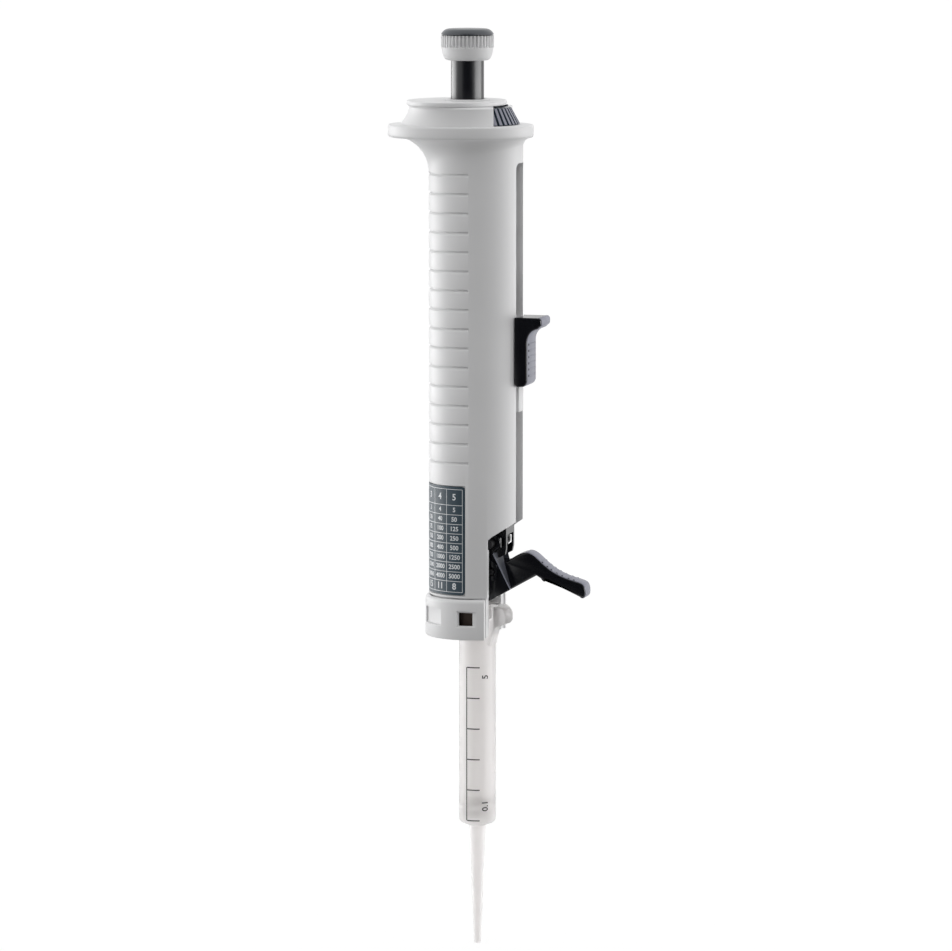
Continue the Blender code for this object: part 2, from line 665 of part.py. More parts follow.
def top_collar():
    """A flared cover with a lip on top and an open front, where the dial shows."""
    base = FLANGE_TOP + SEAT_GAP
    cavity_gap = 0.6 * MM
    step = 0.6 * MM
    edge = 0.7 * MM
    middle = base + 0.42 * DIAL_HEIGHT
    rings = [
        collar_ring(COLLAR_BASE_HALF_LENGTH, COLLAR_BASE_HALF_WIDTH, base),
        collar_ring(
            (COLLAR_BASE_HALF_LENGTH + COLLAR_NECK_HALF_LENGTH) / 2 - 0.2 * MM,
            (COLLAR_BASE_HALF_WIDTH + COLLAR_NECK_HALF_WIDTH) / 2,
            middle,
        ),
        collar_ring(COLLAR_NECK_HALF_LENGTH, COLLAR_NECK_HALF_WIDTH, LIP_BOTTOM - step),
        collar_ring(LIP_HALF_LENGTH, LIP_HALF_WIDTH, LIP_BOTTOM, LIP_CENTRE_X),
        collar_ring(LIP_HALF_LENGTH, LIP_HALF_WIDTH, LIP_TOP - edge, LIP_CENTRE_X),
        collar_ring(LIP_HALF_LENGTH - edge, LIP_HALF_WIDTH - edge, LIP_TOP, LIP_CENTRE_X),
    ]
    collar = loft("top_collar", rings, white_plastic())
    below = base - 1 * MM
    roof = LIP_BOTTOM - 0.1 * MM
    cone = [(0, below), (DIAL_BASE_RADIUS + cavity_gap, below), (DIAL_BASE_RADIUS + cavity_gap, base)]
    cone += [(DIAL_TOP_RADIUS + cavity_gap, roof), (0, roof)]
    cut(collar, turned("collar_cavity", cone, white_plastic(), BUTTON_AXIS_X, steps=FINE_COUNT))
    hole = BUSH_OUTER + SEAT_GAP
    drill(collar, (BUTTON_AXIS_X, 0, base), (BUTTON_AXIS_X, 0, LIP_TOP + MM), hole, ROUND_COUNT)
    reach = 2 * COLLAR_BASE_HALF_WIDTH
    low = (WINDOW_BACK_X, -reach, below)
    high = (WINDOW_BACK_X + reach, reach, LIP_BOTTOM + 0.05 * MM)
    cut(collar, box("window_cutter", low, high, white_plastic()))
    for _, side in SIDES:
        y = side * COLLAR_SCREW_Y
        top = (COLLAR_SCREW_X, y, FLANGE_TOP + COLLAR_SCREW_REACH)
        start = (COLLAR_SCREW_X, y, FLANGE_TOP - 1 * MM)
        drill(collar, start, top, COLLAR_SCREW_RADIUS + SEAT_GAP, TINY_COUNT)
    return collar


def collar_screws():
    """Two screws that hold the collar from under the flange."""
    radius = COLLAR_SCREW_RADIUS
    head_top = FLANGE_UNDERSIDE + 2.0 * MM - SEAT_GAP
    head_bottom = head_top - 1.3 * MM
    top = FLANGE_TOP + COLLAR_SCREW_REACH - SEAT_GAP
    profile = [(0, head_bottom), (1.9 * radius, head_bottom), (1.9 * radius, head_top)]
    profile += [(radius, head_top), (radius, top), (0, top)]
    for name, side in SIDES:
        y = side * COLLAR_SCREW_Y
        turned(name + "_collar_screw", profile, steel(), COLLAR_SCREW_X, y, TINY_COUNT)


# Volume dial

def ribbed_ring(centre_x, radius, depth, ribs, z):
    """A ring whose radius steps in and out between ribs."""
    points = []
    for i in range(2 * ribs):
        angle = math.tau * i / (2 * ribs)
        reach = radius - (depth if i % 2 else 0)
        points.append((centre_x + reach * math.cos(angle), reach * math.sin(angle), z))
    return points


def volume_dial():
    """A ribbed cone with a hub that passes down through the flange."""
    count = 2 * DIAL_RIBS
    depth = DIAL_RIB_DEPTH
    hub_bottom = CAM_TOP + SEAT_GAP
    axis = BUTTON_AXIS_X
    rings = [
        ribbed_ring(axis, DIAL_BASE_RADIUS, depth, DIAL_RIBS, DIAL_BOTTOM),
        ribbed_ring(axis, DIAL_TOP_RADIUS, depth, DIAL_RIBS, DIAL_TOP),
        circle_ring(axis, DIAL_BORE, DIAL_TOP, count),
        circle_ring(axis, DIAL_BORE, hub_bottom, count),
        circle_ring(axis, DIAL_HUB_RADIUS, hub_bottom, count),
        circle_ring(axis, DIAL_HUB_RADIUS, DIAL_BOTTOM, count),
    ]
    return loft("volume_dial", rings, blue_grey_plastic(), closed=True, location=(axis, 0, DIAL_BOTTOM))


def cam_level(angle):
    """Height of the cam's lower face: a ramp that rises through the dial's range, then drops back."""
    turned_by = (STOP_ROD_ANGLE - angle) % math.tau
    if turned_by <= DIAL_RANGE:
        return CAM_BOTTOM + CAM_RISE * turned_by / DIAL_RANGE
    return CAM_BOTTOM + CAM_RISE * (math.tau - turned_by) / (math.tau - DIAL_RANGE)


def dial_cam():
    """A ring on the hub whose lower face is a ramp; the stop rod rides on it."""
    rings = []
    for radius, level in ((CAM_OUTER, 0), (CAM_OUTER, 1), (CAM_INNER, 1), (CAM_INNER, 0)):
        ring = []
        for i in range(FINE_COUNT):
            angle = math.tau * i / FINE_COUNT
            z = CAM_TOP if level else cam_level(angle)
            ring.append((BUTTON_AXIS_X + radius * math.cos(angle), radius * math.sin(angle), z))
        rings.append(ring)
    return loft("dial_cam", rings, grey_plastic(), closed=True, location=(BUTTON_AXIS_X, 0, CAM_TOP))


def dial_detent():
    """The ball and spring that make the dial click."""
    x = BUTTON_AXIS_X - DETENT_OFFSET
    ball_z = DIAL_BOTTOM - SEAT_GAP - DETENT_BALL_RADIUS
    bm = bmesh.new()
    bmesh.ops.create_uvsphere(bm, u_segments=12, v_segments=8, radius=DETENT_BALL_RADIUS)
    bmesh.ops.translate(bm, verts=bm.verts, vec=(x, 0, ball_z))
    add_object("detent_ball", bm, steel())
    bottom = FLANGE_TOP - 6.5 * MM + SEAT_GAP
    top = ball_z - DETENT_BALL_RADIUS - 0.1 * MM
    coil("detent_spring", (x, 0), DETENT_BALL_RADIUS - 0.2 * MM, 0.2 * MM, bottom, top, 5)


def coil(name, centre, radius, wire, bottom, top, turns):
    """A compression spring of round wire, whose ends lie between two heights."""
    steps = 12 * turns
    sides = 5
    rise = (top - bottom - 2 * wire) / steps
    rings = []
    for i in range(steps + 1):
        angle = math.tau * i / 12
        z = bottom + wire + rise * i
        ring = []
        for k in range(sides):
            turn = math.tau * k / sides
            reach = radius - wire + wire * math.cos(turn)
            point = (centre[0] + reach * math.cos(angle), centre[1] + reach * math.sin(angle), z + wire * math.sin(turn))
            ring.append(point)
        rings.append(ring)
    return loft(name, rings, steel())


# Button and what it pushes

def button_ring():
    """The white ribbed band and the taper under it."""
    axis = BUTTON_AXIS_X
    rib_bottom = RING_BOTTOM + RING_TAPER_HEIGHT
    top = rib_bottom + RING_RIB_HEIGHT
    hole = STEM_RADIUS + SEAT_GAP
    count = 2 * RING_RIBS
    rings = [
        circle_ring(axis, RING_RADIUS - 2.0 * MM, RING_BOTTOM, count),
        circle_ring(axis, RING_RADIUS - 1.1 * MM, RING_BOTTOM + 0.8 * MM, count),
        circle_ring(axis, RING_RADIUS - 0.3 * MM, rib_bottom - 0.3 * MM, count),
        ribbed_ring(axis, RING_RADIUS, 0.35 * MM, RING_RIBS, rib_bottom),
        ribbed_ring(axis, RING_RADIUS, 0.35 * MM, RING_RIBS, top),
        circle_ring(axis, hole, top, count),
        circle_ring(axis, hole, RING_BOTTOM, count),
    ]
    return loft("button_ring", rings, white_plastic(), closed=True)


def button_cap():
    """The domed cap, with a plug that fills the ring."""
    bottom = RING_BOTTOM + RING_TAPER_HEIGHT + RING_RIB_HEIGHT + SEAT_GAP
    height = CAP_HEIGHT - SEAT_GAP
    edge = RING_RADIUS - 0.1 * MM
    shape = ((0.0, 0.0), (0.0, 0.3), (0.02, 0.55), (0.09, 0.78), (0.22, 0.93), (0.6, 0.99))
    profile = [(0, bottom)]
    profile += [(edge * (1 - inset), bottom + height * level) for inset, level in shape]
    profile.append((0, bottom + height))
    return turned("button_cap", profile, blue_grey_plastic(), BUTTON_AXIS_X, steps=FINE_COUNT)


def button_stem():
    """The stem, with a groove for its retaining ring and a blind hole for the foot's screw."""
    top = RING_BOTTOM + RING_TAPER_HEIGHT + RING_RIB_HEIGHT
    groove = BUSH_BOTTOM - 2.3 * MM
    neck = STEM_RADIUS - 0.6 * MM
    screw = SCREW_RADIUS + SEAT_GAP
    profile = [(screw, STEM_BOTTOM), (STEM_RADIUS, STEM_BOTTOM), (STEM_RADIUS, groove), (neck, groove)]
    profile += [(neck, groove + 1.8 * MM), (STEM_RADIUS, groove + 1.8 * MM), (STEM_RADIUS, top), (0, top)]
    profile += [(0, STEM_BOTTOM + 7 * MM), (screw, STEM_BOTTOM + 7 * MM)]
    return turned("button_stem", profile, navy_plastic(), BUTTON_AXIS_X, steps=FINE_COUNT)


def stem_retainer():
    """The snap ring that stops the stem under its bush."""
    bottom = BUSH_BOTTOM - 2.3 * MM + SEAT_GAP
    top = bottom + 1.2 * MM
    inner = STEM_RADIUS - 0.3 * MM
    outer = BUSH_OUTER - 0.9 * MM
    profile = [(inner, bottom), (outer, bottom), (outer, top), (inner, top)]
    return turned("stem_retainer", profile, steel(), BUTTON_AXIS_X)


def guide_bush():
    """The sleeve in the collar that the stem slides in and the dial turns on."""
    profile = [(BUSH_INNER, BUSH_BOTTOM), (BUSH_OUTER, BUSH_BOTTOM), (BUSH_OUTER, LIP_TOP), (BUSH_INNER, LIP_TOP)]
    return turned("guide_bush", profile, white_plastic(), BUTTON_AXIS_X)


def stem_foot():
    """The arm under the stem that carries the eject rod."""
    nose_x = BUTTON_AXIS_X
    back_x = EJECT_ROD_X
    half = 3.6 * MM
    outline = arc((back_x, 0.0), 2.4 * MM, 90, 270, 9)
    outline += arc((nose_x, 0.0), half, 270, 450, 13)
    foot = flat_plate("stem_foot", outline, FOOT_BOTTOM, FOOT_TOP, grey_plastic())
    below = FOOT_BOTTOM - 1 * MM
    drill(foot, (nose_x, 0, below), (nose_x, 0, FOOT_TOP + 1 * MM), SCREW_RADIUS + SEAT_GAP)
    drill(foot, (back_x, 0, below), (back_x, 0, FOOT_TOP - 1 * MM), EJECT_ROD_RADIUS + SEAT_GAP)
    return foot


def foot_screw():
    top = STEM_BOTTOM + 6.5 * MM
    head_top = FOOT_BOTTOM - SEAT_GAP
    head_bottom = head_top - 1.4 * MM
    head = 2.2 * SCREW_RADIUS
    profile = [(0, head_bottom), (head, head_bottom), (head, head_top), (SCREW_RADIUS, head_top)]
    profile += [(SCREW_RADIUS, top), (0, top)]
    return turned("foot_screw", profile, steel(), BUTTON_AXIS_X, steps=SMALL_COUNT)


def eject_rod():
    top = FOOT_TOP - 1 * MM - SEAT_GAP
    bottom = YOKE_BOTTOM + 1.2 * MM
    return rod("eject_rod", (EJECT_ROD_X, 0, bottom), (EJECT_ROD_X, 0, top), EJECT_ROD_RADIUS, steel())


def back_segment(radius, front_x, count=15):
    """Plan of a plate that fills the back of the cavity, cut straight across at its front."""
    spread = math.degrees(math.acos((front_x - BODY_CENTRE_X) / radius))
    return arc((BODY_CENTRE_X, 0.0), radius, spread, 360 - spread, count)


def release_yoke():
    """The plate at the eject rod's lower end, which meets the catches' tails at full press."""
    outline = back_segment(SPIGOT_BORE - SEAT_GAP, SEAT_BACK_X - 0.6 * MM)
    yoke = flat_plate("release_yoke", outline, YOKE_BOTTOM, YOKE_BOTTOM + YOKE_THICKNESS, grey_plastic())
    start = (EJECT_ROD_X, 0, YOKE_BOTTOM + 1.2 * MM - SEAT_GAP)
    end = (EJECT_ROD_X, 0, YOKE_BOTTOM + YOKE_THICKNESS + 1 * MM)
    drill(yoke, start, end, EJECT_ROD_RADIUS + SEAT_GAP)
    return yoke


def button_spring():
    radius = EJECT_ROD_RADIUS + SEAT_GAP + 2 * SPRING_WIRE_RADIUS
    centre = (EJECT_ROD_X, 0)
    return coil("button_spring", centre, radius, SPRING_WIRE_RADIUS, SPRING_BOTTOM, SPRING_TOP, SPRING_TURNS)


# Plates inside the body

def guide_plate():
    """The plate across the cavity that guides the two rods and lets the rack and carriage pass."""
    top = GUIDE_PLATE_BOTTOM + GUIDE_PLATE_THICKNESS
    gap = SEAT_GAP
    outline = egg(BODY_CENTRE_X, BODY_INNER_BACK - gap, BODY_INNER_FRONT - gap, BODY_INNER_HALF - gap)
    plate = flat_plate("guide_plate", outline, GUIDE_PLATE_BOTTOM, top, grey_plastic())
    half = SLOT_HALF_WIDTH
    low = (RACK_BACK_X - SLIDE_GAP, -half, GUIDE_PLATE_BOTTOM - 1 * MM)
    high = (BODY_CENTRE_X + BODY_FRONT, half, top + 1 * MM)
    cut(plate, box("rack_way_cutter", low, high, grey_plastic()))
    below = GUIDE_PLATE_BOTTOM - 1 * MM
    above = top + 1 * MM
    drill(plate, (EJECT_ROD_X, 0, below), (EJECT_ROD_X, 0, above), EJECT_ROD_RADIUS + SEAT_GAP)
    x, y = stop_rod_place()
    drill(plate, (x, y, below), (x, y, above), STOP_ROD_RADIUS + SEAT_GAP)
    return plate


def pawl_bracket():
    """The shelf on the cavity's back wall that carries the holding pawl between two lugs."""
    lug_inner = PAWL_HALF_WIDTH + SEAT_GAP
    lug_outer = lug_inner + 1.5 * MM
    top = BRACKET_BOTTOM + BRACKET_THICKNESS
    front = RAIL_BACK_X - 0.5 * MM
    back = arc((BODY_CENTRE_X, 0.0), BODY_INNER_BACK - SEAT_GAP, 148, 212, 11)
    bracket = flat_plate("pawl_bracket", back + [(front, back[-1][1]), (front, back[0][1])], BRACKET_BOTTOM, top, grey_plastic())
    for name, side in SIDES:
        y = sorted((side * lug_inner, side * lug_outer))
        outline = [(front - 3 * MM, BRACKET_BOTTOM + 0.4 * MM), (front, BRACKET_BOTTOM + 0.4 * MM)]
        outline += [(PAWL_PIN_X + 1.8 * MM, HOLD_PAWL_PIN_Z - 2.0 * MM)]
        outline += arc((PAWL_PIN_X, HOLD_PAWL_PIN_Z), 2.0 * MM, 0, 120, 7)
        outline += [(front - 3 * MM, top + 1.5 * MM)]
        lug = side_plate(name + "_lug", outline, y[0], y[1], grey_plastic())
        unite(bracket, lug)
    pin_reach = lug_outer + 1 * MM
    start = (PAWL_PIN_X, -pin_reach, HOLD_PAWL_PIN_Z)
    drill(bracket, start, (PAWL_PIN_X, pin_reach, HOLD_PAWL_PIN_Z), PAWL_PIN_RADIUS + SEAT_GAP, TINY_COUNT)
    below = (EJECT_ROD_X, 0, BRACKET_BOTTOM - 1 * MM)
    drill(bracket, below, (EJECT_ROD_X, 0, top + 1 * MM), EJECT_ROD_RADIUS + SEAT_GAP)
    return bracket


# Pawls

def pawl(name, pin_z):
    """A pawl on its pin, whose nose stops just short of the rack's teeth."""
    hole = PAWL_PIN_RADIUS + SEAT_GAP
    nose_x = RACK_BACK_X - SEAT_GAP
    outline = arc((PAWL_PIN_X, pin_z), PAWL_HUB_RADIUS, 60, 250, 12)
    outline += [(nose_x, pin_z - PAWL_REACH), (nose_x, pin_z - PAWL_REACH + 1.2 * MM)]
    outline += [(PAWL_PIN_X + PAWL_HUB_RADIUS - 0.1 * MM, pin_z + 0.4 * MM)]
    origin = (PAWL_PIN_X, 0, pin_z)
    half = PAWL_HALF_WIDTH
    body = side_plate(name, outline, -half, half, steel(), origin)
    return drill(body, (PAWL_PIN_X, -half - MM, pin_z), (PAWL_PIN_X, half + MM, pin_z), hole, TINY_COUNT)


def pawl_pins():
    lug_outer = PAWL_HALF_WIDTH + SEAT_GAP + 1.5 * MM
    start = (PAWL_PIN_X, -lug_outer, HOLD_PAWL_PIN_Z)
    rod("hold_pawl_pin", start, (PAWL_PIN_X, lug_outer, HOLD_PAWL_PIN_Z), PAWL_PIN_RADIUS, steel(), TINY_COUNT)
    start = (PAWL_PIN_X, -RAIL_OUTER, DRIVE_PAWL_PIN_Z)
    rod("drive_pawl_pin", start, (PAWL_PIN_X, RAIL_OUTER, DRIVE_PAWL_PIN_Z), PAWL_PIN_RADIUS, steel(), TINY_COUNT)


# Drive frame

def cam_pin_place(angle):
    """Where the lever's cam pin is, seen from the side, once the lever has turned by an angle."""
    x = CAM_PIN_FORWARD * math.cos(angle) - CAM_PIN_DROP * math.sin(angle)
    z = -CAM_PIN_FORWARD * math.sin(angle) - CAM_PIN_DROP * math.cos(angle)
    return LEVER_PIVOT_X + x, LEVER_PIVOT_Z + z


def cam_slot_outline():
    """The slot that turns the pin's swing into the frame's travel, with round ends."""
    half = CAM_PIN_RADIUS + SLIDE_GAP
    count = 9
    centres = []
    for i in range(count):
        share = i / (count - 1)
        x, z = cam_pin_place(LEVER_RANGE * share)
        centres.append(Vector((x, z + DRIVE_TRAVEL * share)))
    left = []
    right = []
    for i, centre in enumerate(centres):
        ahead = centres[min(i + 1, count - 1)] - centres[max(i - 1, 0)]
        normal = Vector((-ahead.y, ahead.x)).normalized() * half
        left.append(centre + normal)
        right.append(centre - normal)
    first = math.degrees(math.atan2(left[0].y - centres[0].y, left[0].x - centres[0].x))
    last = math.degrees(math.atan2(right[-1].y - centres[-1].y, right[-1].x - centres[-1].x))
    start_cap = arc(centres[0], half, first, first + 180, 7)[1:-1]
    end_cap = arc(centres[-1], half, last, last + 180, 7)[1:-1]
    outline = [tuple(point) for point in right] + end_cap
    outline += [tuple(point) for point in reversed(left)] + start_cap
    return outline


def rail_outline():
    """Side view of a rail: a foot under the lever's pivot, an upright, and a head at the bridge."""
    foot_front = LEVER_PIVOT_X + 2.45 * MM
    return [
        (BRIDGE_BACK_X, DRIVE_TOP),
        (BRIDGE_BACK_X, DRIVE_TOP - BRIDGE_HEIGHT),
        (RAIL_BACK_X, DRIVE_TOP - BRIDGE_HEIGHT - 4 * MM),
        (RAIL_BACK_X, DRIVE_BOTTOM + 1.8 * MM),
        (RAIL_BACK_X + 1.8 * MM, DRIVE_BOTTOM),
        (foot_front - 1 * MM, DRIVE_BOTTOM),
        (foot_front, DRIVE_BOTTOM + 1 * MM),
        (foot_front, DRIVE_BOTTOM + 5.1 * MM),
        (RAIL_FRONT_X, DRIVE_BOTTOM + 10.0 * MM),
        (RAIL_FRONT_X, DRIVE_TOP),
    ]


def drive_frame():
    """Two side rails, joined by a bridge behind the rack, that the lever's pins pull down."""
    outline = rail_outline()
    frame = side_plate("drive_frame", outline, -RAIL_OUTER, -RAIL_INNER, grey_plastic())
    unite(frame, side_plate("far_rail", outline, RAIL_INNER, RAIL_OUTER, grey_plastic()))
    bridge_low = (BRIDGE_BACK_X, -RAIL_OUTER + 0.2 * MM, DRIVE_TOP - BRIDGE_HEIGHT)
    bridge_high = (BRIDGE_BACK_X + 3.4 * MM, RAIL_OUTER - 0.2 * MM, DRIVE_TOP)
    unite(frame, box("bridge", bridge_low, bridge_high, grey_plastic()))
    reach = RAIL_OUTER + 1 * MM
    slot = side_plate("cam_slot_cutter", cam_slot_outline(), -reach, reach, grey_plastic())
    cut(frame, slot)
    start = (PAWL_PIN_X, -reach, DRIVE_PAWL_PIN_Z)
    drill(frame, start, (PAWL_PIN_X, reach, DRIVE_PAWL_PIN_Z), PAWL_PIN_RADIUS + SEAT_GAP, TINY_COUNT)
    return frame


def stop_rod_place():
    x = BUTTON_AXIS_X + STOP_ROD_ORBIT * math.cos(STOP_ROD_ANGLE)
    return x, STOP_ROD_ORBIT * math.sin(STOP_ROD_ANGLE)


def stop_rod():
    """The rod between the dial's cam and the drive frame, which sets how far the frame returns."""
    x, y = stop_rod_place()
    bottom = DRIVE_TOP + SEAT_GAP
    top = CAM_BOTTOM - SEAT_GAP
    return rod("stop_rod", (x, y, bottom), (x, y, top), STOP_ROD_RADIUS, steel(), TINY_COUNT)


# Dispensing lever

def from_pivot(outline):
    """Moves an outline that is given in millimetres from the lever's pivot to its place."""
    return [(LEVER_PIVOT_X + x * MM, LEVER_PIVOT_Z + z * MM) for x, z in outline]


def lower_edge(x):
    """Drop of the lever's straight lower edge, which lies level over the tip at full press."""
    return -19.8 + (x + 1.05) * math.tan(math.radians(29.5))


def arm_outline():
    """Side view of the thumb arm: a crest near the pivot, a dip and a rounded end."""
    top = [(4.85, -6.2), (8.05, -4.1), (10.05, -3.2), (11.85, -3.0), (13.65, -3.5), (15.65, -4.9), (17.65, -6.8)]
    top += [(19.85, -8.5), (22.05, -9.8), (24.45, -10.8), (27.45, -11.9), (29.85, -12.5), (30.95, -13.2)]
    top += [(31.55, -14.6), (31.75, -16.3), (31.35, -17.3), (30.45, -17.2)]
    under = [(18.65, -12.3), (18.05, -12.8), (17.35, -12.6), (16.75, -11.7)]
    under += [(15.05, lower_edge(15.05)), (5.45, lower_edge(5.45)), (0.65, -6.5)]
    return from_pivot(top + under)


def cheek_outline():
    """Side view of a cheek: a boss on the pivot and a plate that narrows down to the lower edge."""
    boss = arc((0.0, 0.0), CHEEK_BOSS_RADIUS / MM, -20, 190, 13)
    plate = [(-2.35, -18.7), (-1.55, lower_edge(-1.55)), (6.45, lower_edge(6.45)), (0.9, -4.5), (2.2, -2.2)]
    return from_pivot(boss + plate)


def thumb_surface():
    """Where the row of raised pips sits on the arm's top, from the dip to the end."""
    pips = [(18.35, -7.3), (20.25, -8.7), (22.35, -9.9), (24.55, -10.8), (26.75, -11.6), (28.85, -12.2)]
    return from_pivot(pips)


def dispensing_lever():
    pivot = (LEVER_PIVOT_X, 0, LEVER_PIVOT_Z)
    half = LEVER_HALF_WIDTH
    lever = side_plate("dispensing_lever", arm_outline(), -half, half, navy_plastic(), pivot)
    for name, side in SIDES:
        y = sorted((side * CHEEK_INNER, side * CHEEK_OUTER))
        unite(lever, side_plate(name + "_cheek", cheek_outline(), y[0], y[1], navy_plastic()))
    for centre in thumb_surface():
        outline = arc(centre, 2 * PIP_RADIUS, 0, 315, 8)
        unite(lever, side_plate("lever_pip", outline, -0.7 * half, 0.7 * half, navy_plastic()))
    reach = CHEEK_OUTER + 1 * MM
    drill(lever, (LEVER_PIVOT_X, -reach, LEVER_PIVOT_Z), (LEVER_PIVOT_X, reach, LEVER_PIVOT_Z), PIVOT_PIN_RADIUS + SEAT_GAP)
    x, z = cam_pin_place(0.0)
    drill(lever, (x, -reach, z), (x, reach, z), CAM_PIN_RADIUS + SEAT_GAP, TINY_COUNT)
    return lever


def lever_pins():
    """Stub pins: two that carry the lever in the body's walls, and two that move the drive frame."""
    x, z = cam_pin_place(0.0)
    outer = width_inside_body(LEVER_PIVOT_X) + BODY_WALL / 2 - SEAT_GAP
    for name, side in SIDES:
        start = (LEVER_PIVOT_X, side * CHEEK_INNER, LEVER_PIVOT_Z)
        end = (LEVER_PIVOT_X, side * outer, LEVER_PIVOT_Z)
        rod(name + "_pivot_pin", start, end, PIVOT_PIN_RADIUS, steel())
        start = (x, side * CHEEK_INNER, z)
        end = (x, side * RAIL_OUTER, z)
        rod(name + "_cam_pin", start, end, CAM_PIN_RADIUS, steel(), TINY_COUNT)


# Piston drive

def piston_clamp():
    """The block that grips the tip piston's head; its front is a fork with a window in each arm."""
    half = CLAMP_HALF_WIDTH
    back = CLAMP_BACK_X
    front = CLAMP_FRONT_X
    bottom = CLAMP_BOTTOM
    outline = [(back, bottom), (front - 3.3 * MM, bottom), (front - 0.4 * MM, bottom + 1.6 * MM)]
    outline += [(front, bottom + 3.6 * MM), (front, CLAMP_TOP), (back, CLAMP_TOP)]
    clamp = side_plate("piston_clamp", outline, -half, half, navy_plastic())
    bore = PISTON_HEAD_RADIUS + SEAT_GAP
    drill(clamp, (0, 0, bottom - 1 * MM), (0, 0, bottom + CLAMP_BORE_DEPTH), bore, ROUND_COUNT)
    fork_half = half - FORK_WALL
    low = (bore + 1.2 * MM, -fork_half, bottom - 1 * MM)
    high = (front + 1 * MM, fork_half, bottom + FORK_HEIGHT)
    cut(clamp, box("fork_cutter", low, high, navy_plastic()))
    block_top = bottom + CLAMP_BLOCK_HEIGHT
    low = (back - MM, -half - MM, block_top)
    high = (RACK_BACK_X, half + MM, CLAMP_TOP + MM)
    cut(clamp, box("clamp_back_cutter", low, high, navy_plastic()))
    rack_half = RACK_HALF_WIDTH + SEAT_GAP
    low = (RACK_BACK_X - 2 * MM, -rack_half, block_top)
    high = (RACK_FRONT_X + SEAT_GAP, rack_half, CLAMP_TOP + MM)
    cut(clamp, box("rack_pocket_cutter", low, high, navy_plastic()))
    window = [(front - 2.0 * MM, bottom + 3.7 * MM), (front - 0.6 * MM, bottom + 4.7 * MM)]
    window += [(front - 0.6 * MM, bottom + 7.2 * MM), (front - 2.0 * MM, bottom + 7.2 * MM)]
    cut(clamp, side_plate("clamp_window_cutter", window, -half - MM, half + MM, navy_plastic()))
    return clamp


def clamp_jaws():
    """Two part-rings in the clamp's bore that hold the piston's head from below."""
    outer = PISTON_HEAD_RADIUS
    inner = PISTON_ROD_RADIUS + SEAT_GAP
    bottom = CLAMP_BOTTOM + 0.2 * MM
    for name, middle in (("near", 270), ("far", 90)):
        outline = arc((0, 0), outer, middle - JAW_SPAN, middle + JAW_SPAN, 9)
        outline += arc((0, 0), inner, middle + JAW_SPAN, middle - JAW_SPAN, 7)
        flat_plate(name + "_jaw", outline, bottom, bottom + JAW_HEIGHT, steel())


def toothed_rack():
    """The bar from the clamp up to the carriage, with one tooth for each fiftieth of the stroke."""
    pitch = FILL_STROKE / 50
    first = RACK_BOTTOM + TOOTH_MARGIN
    count = int((RACK_LENGTH - 2 * TOOTH_MARGIN) / pitch)
    outline = [(RACK_FRONT_X, RACK_BOTTOM), (RACK_FRONT_X, RACK_TOP), (RACK_BACK_X, RACK_TOP)]
    for i in reversed(range(count)):
        z = first + i * pitch
        outline.append((RACK_BACK_X, z + 0.9 * pitch))
        outline.append((RACK_BACK_X + TOOTH_DEPTH, z))
        outline.append((RACK_BACK_X, z))
    outline.append((RACK_BACK_X, RACK_BOTTOM))
    return side_plate("toothed_rack", outline, -RACK_HALF_WIDTH, RACK_HALF_WIDTH, grey_plastic())


def screw_heights():
    middle = (SLIDER_BOTTOM + SLIDER_TOP) / 2
    return (("lower", middle - 6 * MM), ("upper", middle + 6 * MM))


def slider_carriage():
    """The white block that runs in the body's slot and joins the slider to the rack."""
    half = CARRIAGE_HALF_WIDTH
    outline = arc((0.0, CARRIAGE_TOP - half), half, 0, 180, 13)
    outline += [(-half, CARRIAGE_BOTTOM), (half, CARRIAGE_BOTTOM)]
    points = [(CARRIAGE_BACK_X, y, z) for y, z in outline]
    carriage = extruded("slider_carriage", points, (CARRIAGE_FRONT_X - CARRIAGE_BACK_X, 0, 0), white_plastic())
    for _, z in screw_heights():
        drill(carriage, (CARRIAGE_BACK_X - MM, 0, z), (SLIDER_BACK_X, 0, z), SCREW_RADIUS + SEAT_GAP, TINY_COUNT)
        head_end = CARRIAGE_BACK_X + 2.2 * MM
        drill(carriage, (CARRIAGE_BACK_X - MM, 0, z), (head_end, 0, z), 2 * SCREW_RADIUS + SEAT_GAP, SMALL_COUNT)
    return carriage


def slider_outline():
    """Side view of the slider: a hooked top, a hollow for the thumb and a rounded bottom."""
    back = BODY_CENTRE_X + BODY_FRONT - 2.5 * MM
    hook_bottom = SLIDER_TOP - SLIDER_HOOK_HEIGHT
    hollow = arc((SLIDER_HOOK_X - 0.4 * MM, hook_bottom - 4.9 * MM), 4.3 * MM, 100, 180, 7)
    outline = [(back, SLIDER_TOP), (back, SLIDER_BOTTOM + 0.4 * MM), (back + 0.6 * MM, SLIDER_BOTTOM)]
    outline += arc((SLIDER_STEM_X - 3.6 * MM, SLIDER_BOTTOM + 3.6 * MM), 3.6 * MM, 285, 360, 6)
    outline += list(reversed(hollow))
    outline += [(SLIDER_HOOK_X - 0.3 * MM, hook_bottom), (SLIDER_HOOK_X, hook_bottom + 0.7 * MM)]
    outline += [(SLIDER_HOOK_X, SLIDER_TOP - 0.9 * MM), (SLIDER_HOOK_X - 0.5 * MM, SLIDER_TOP)]
    return outline


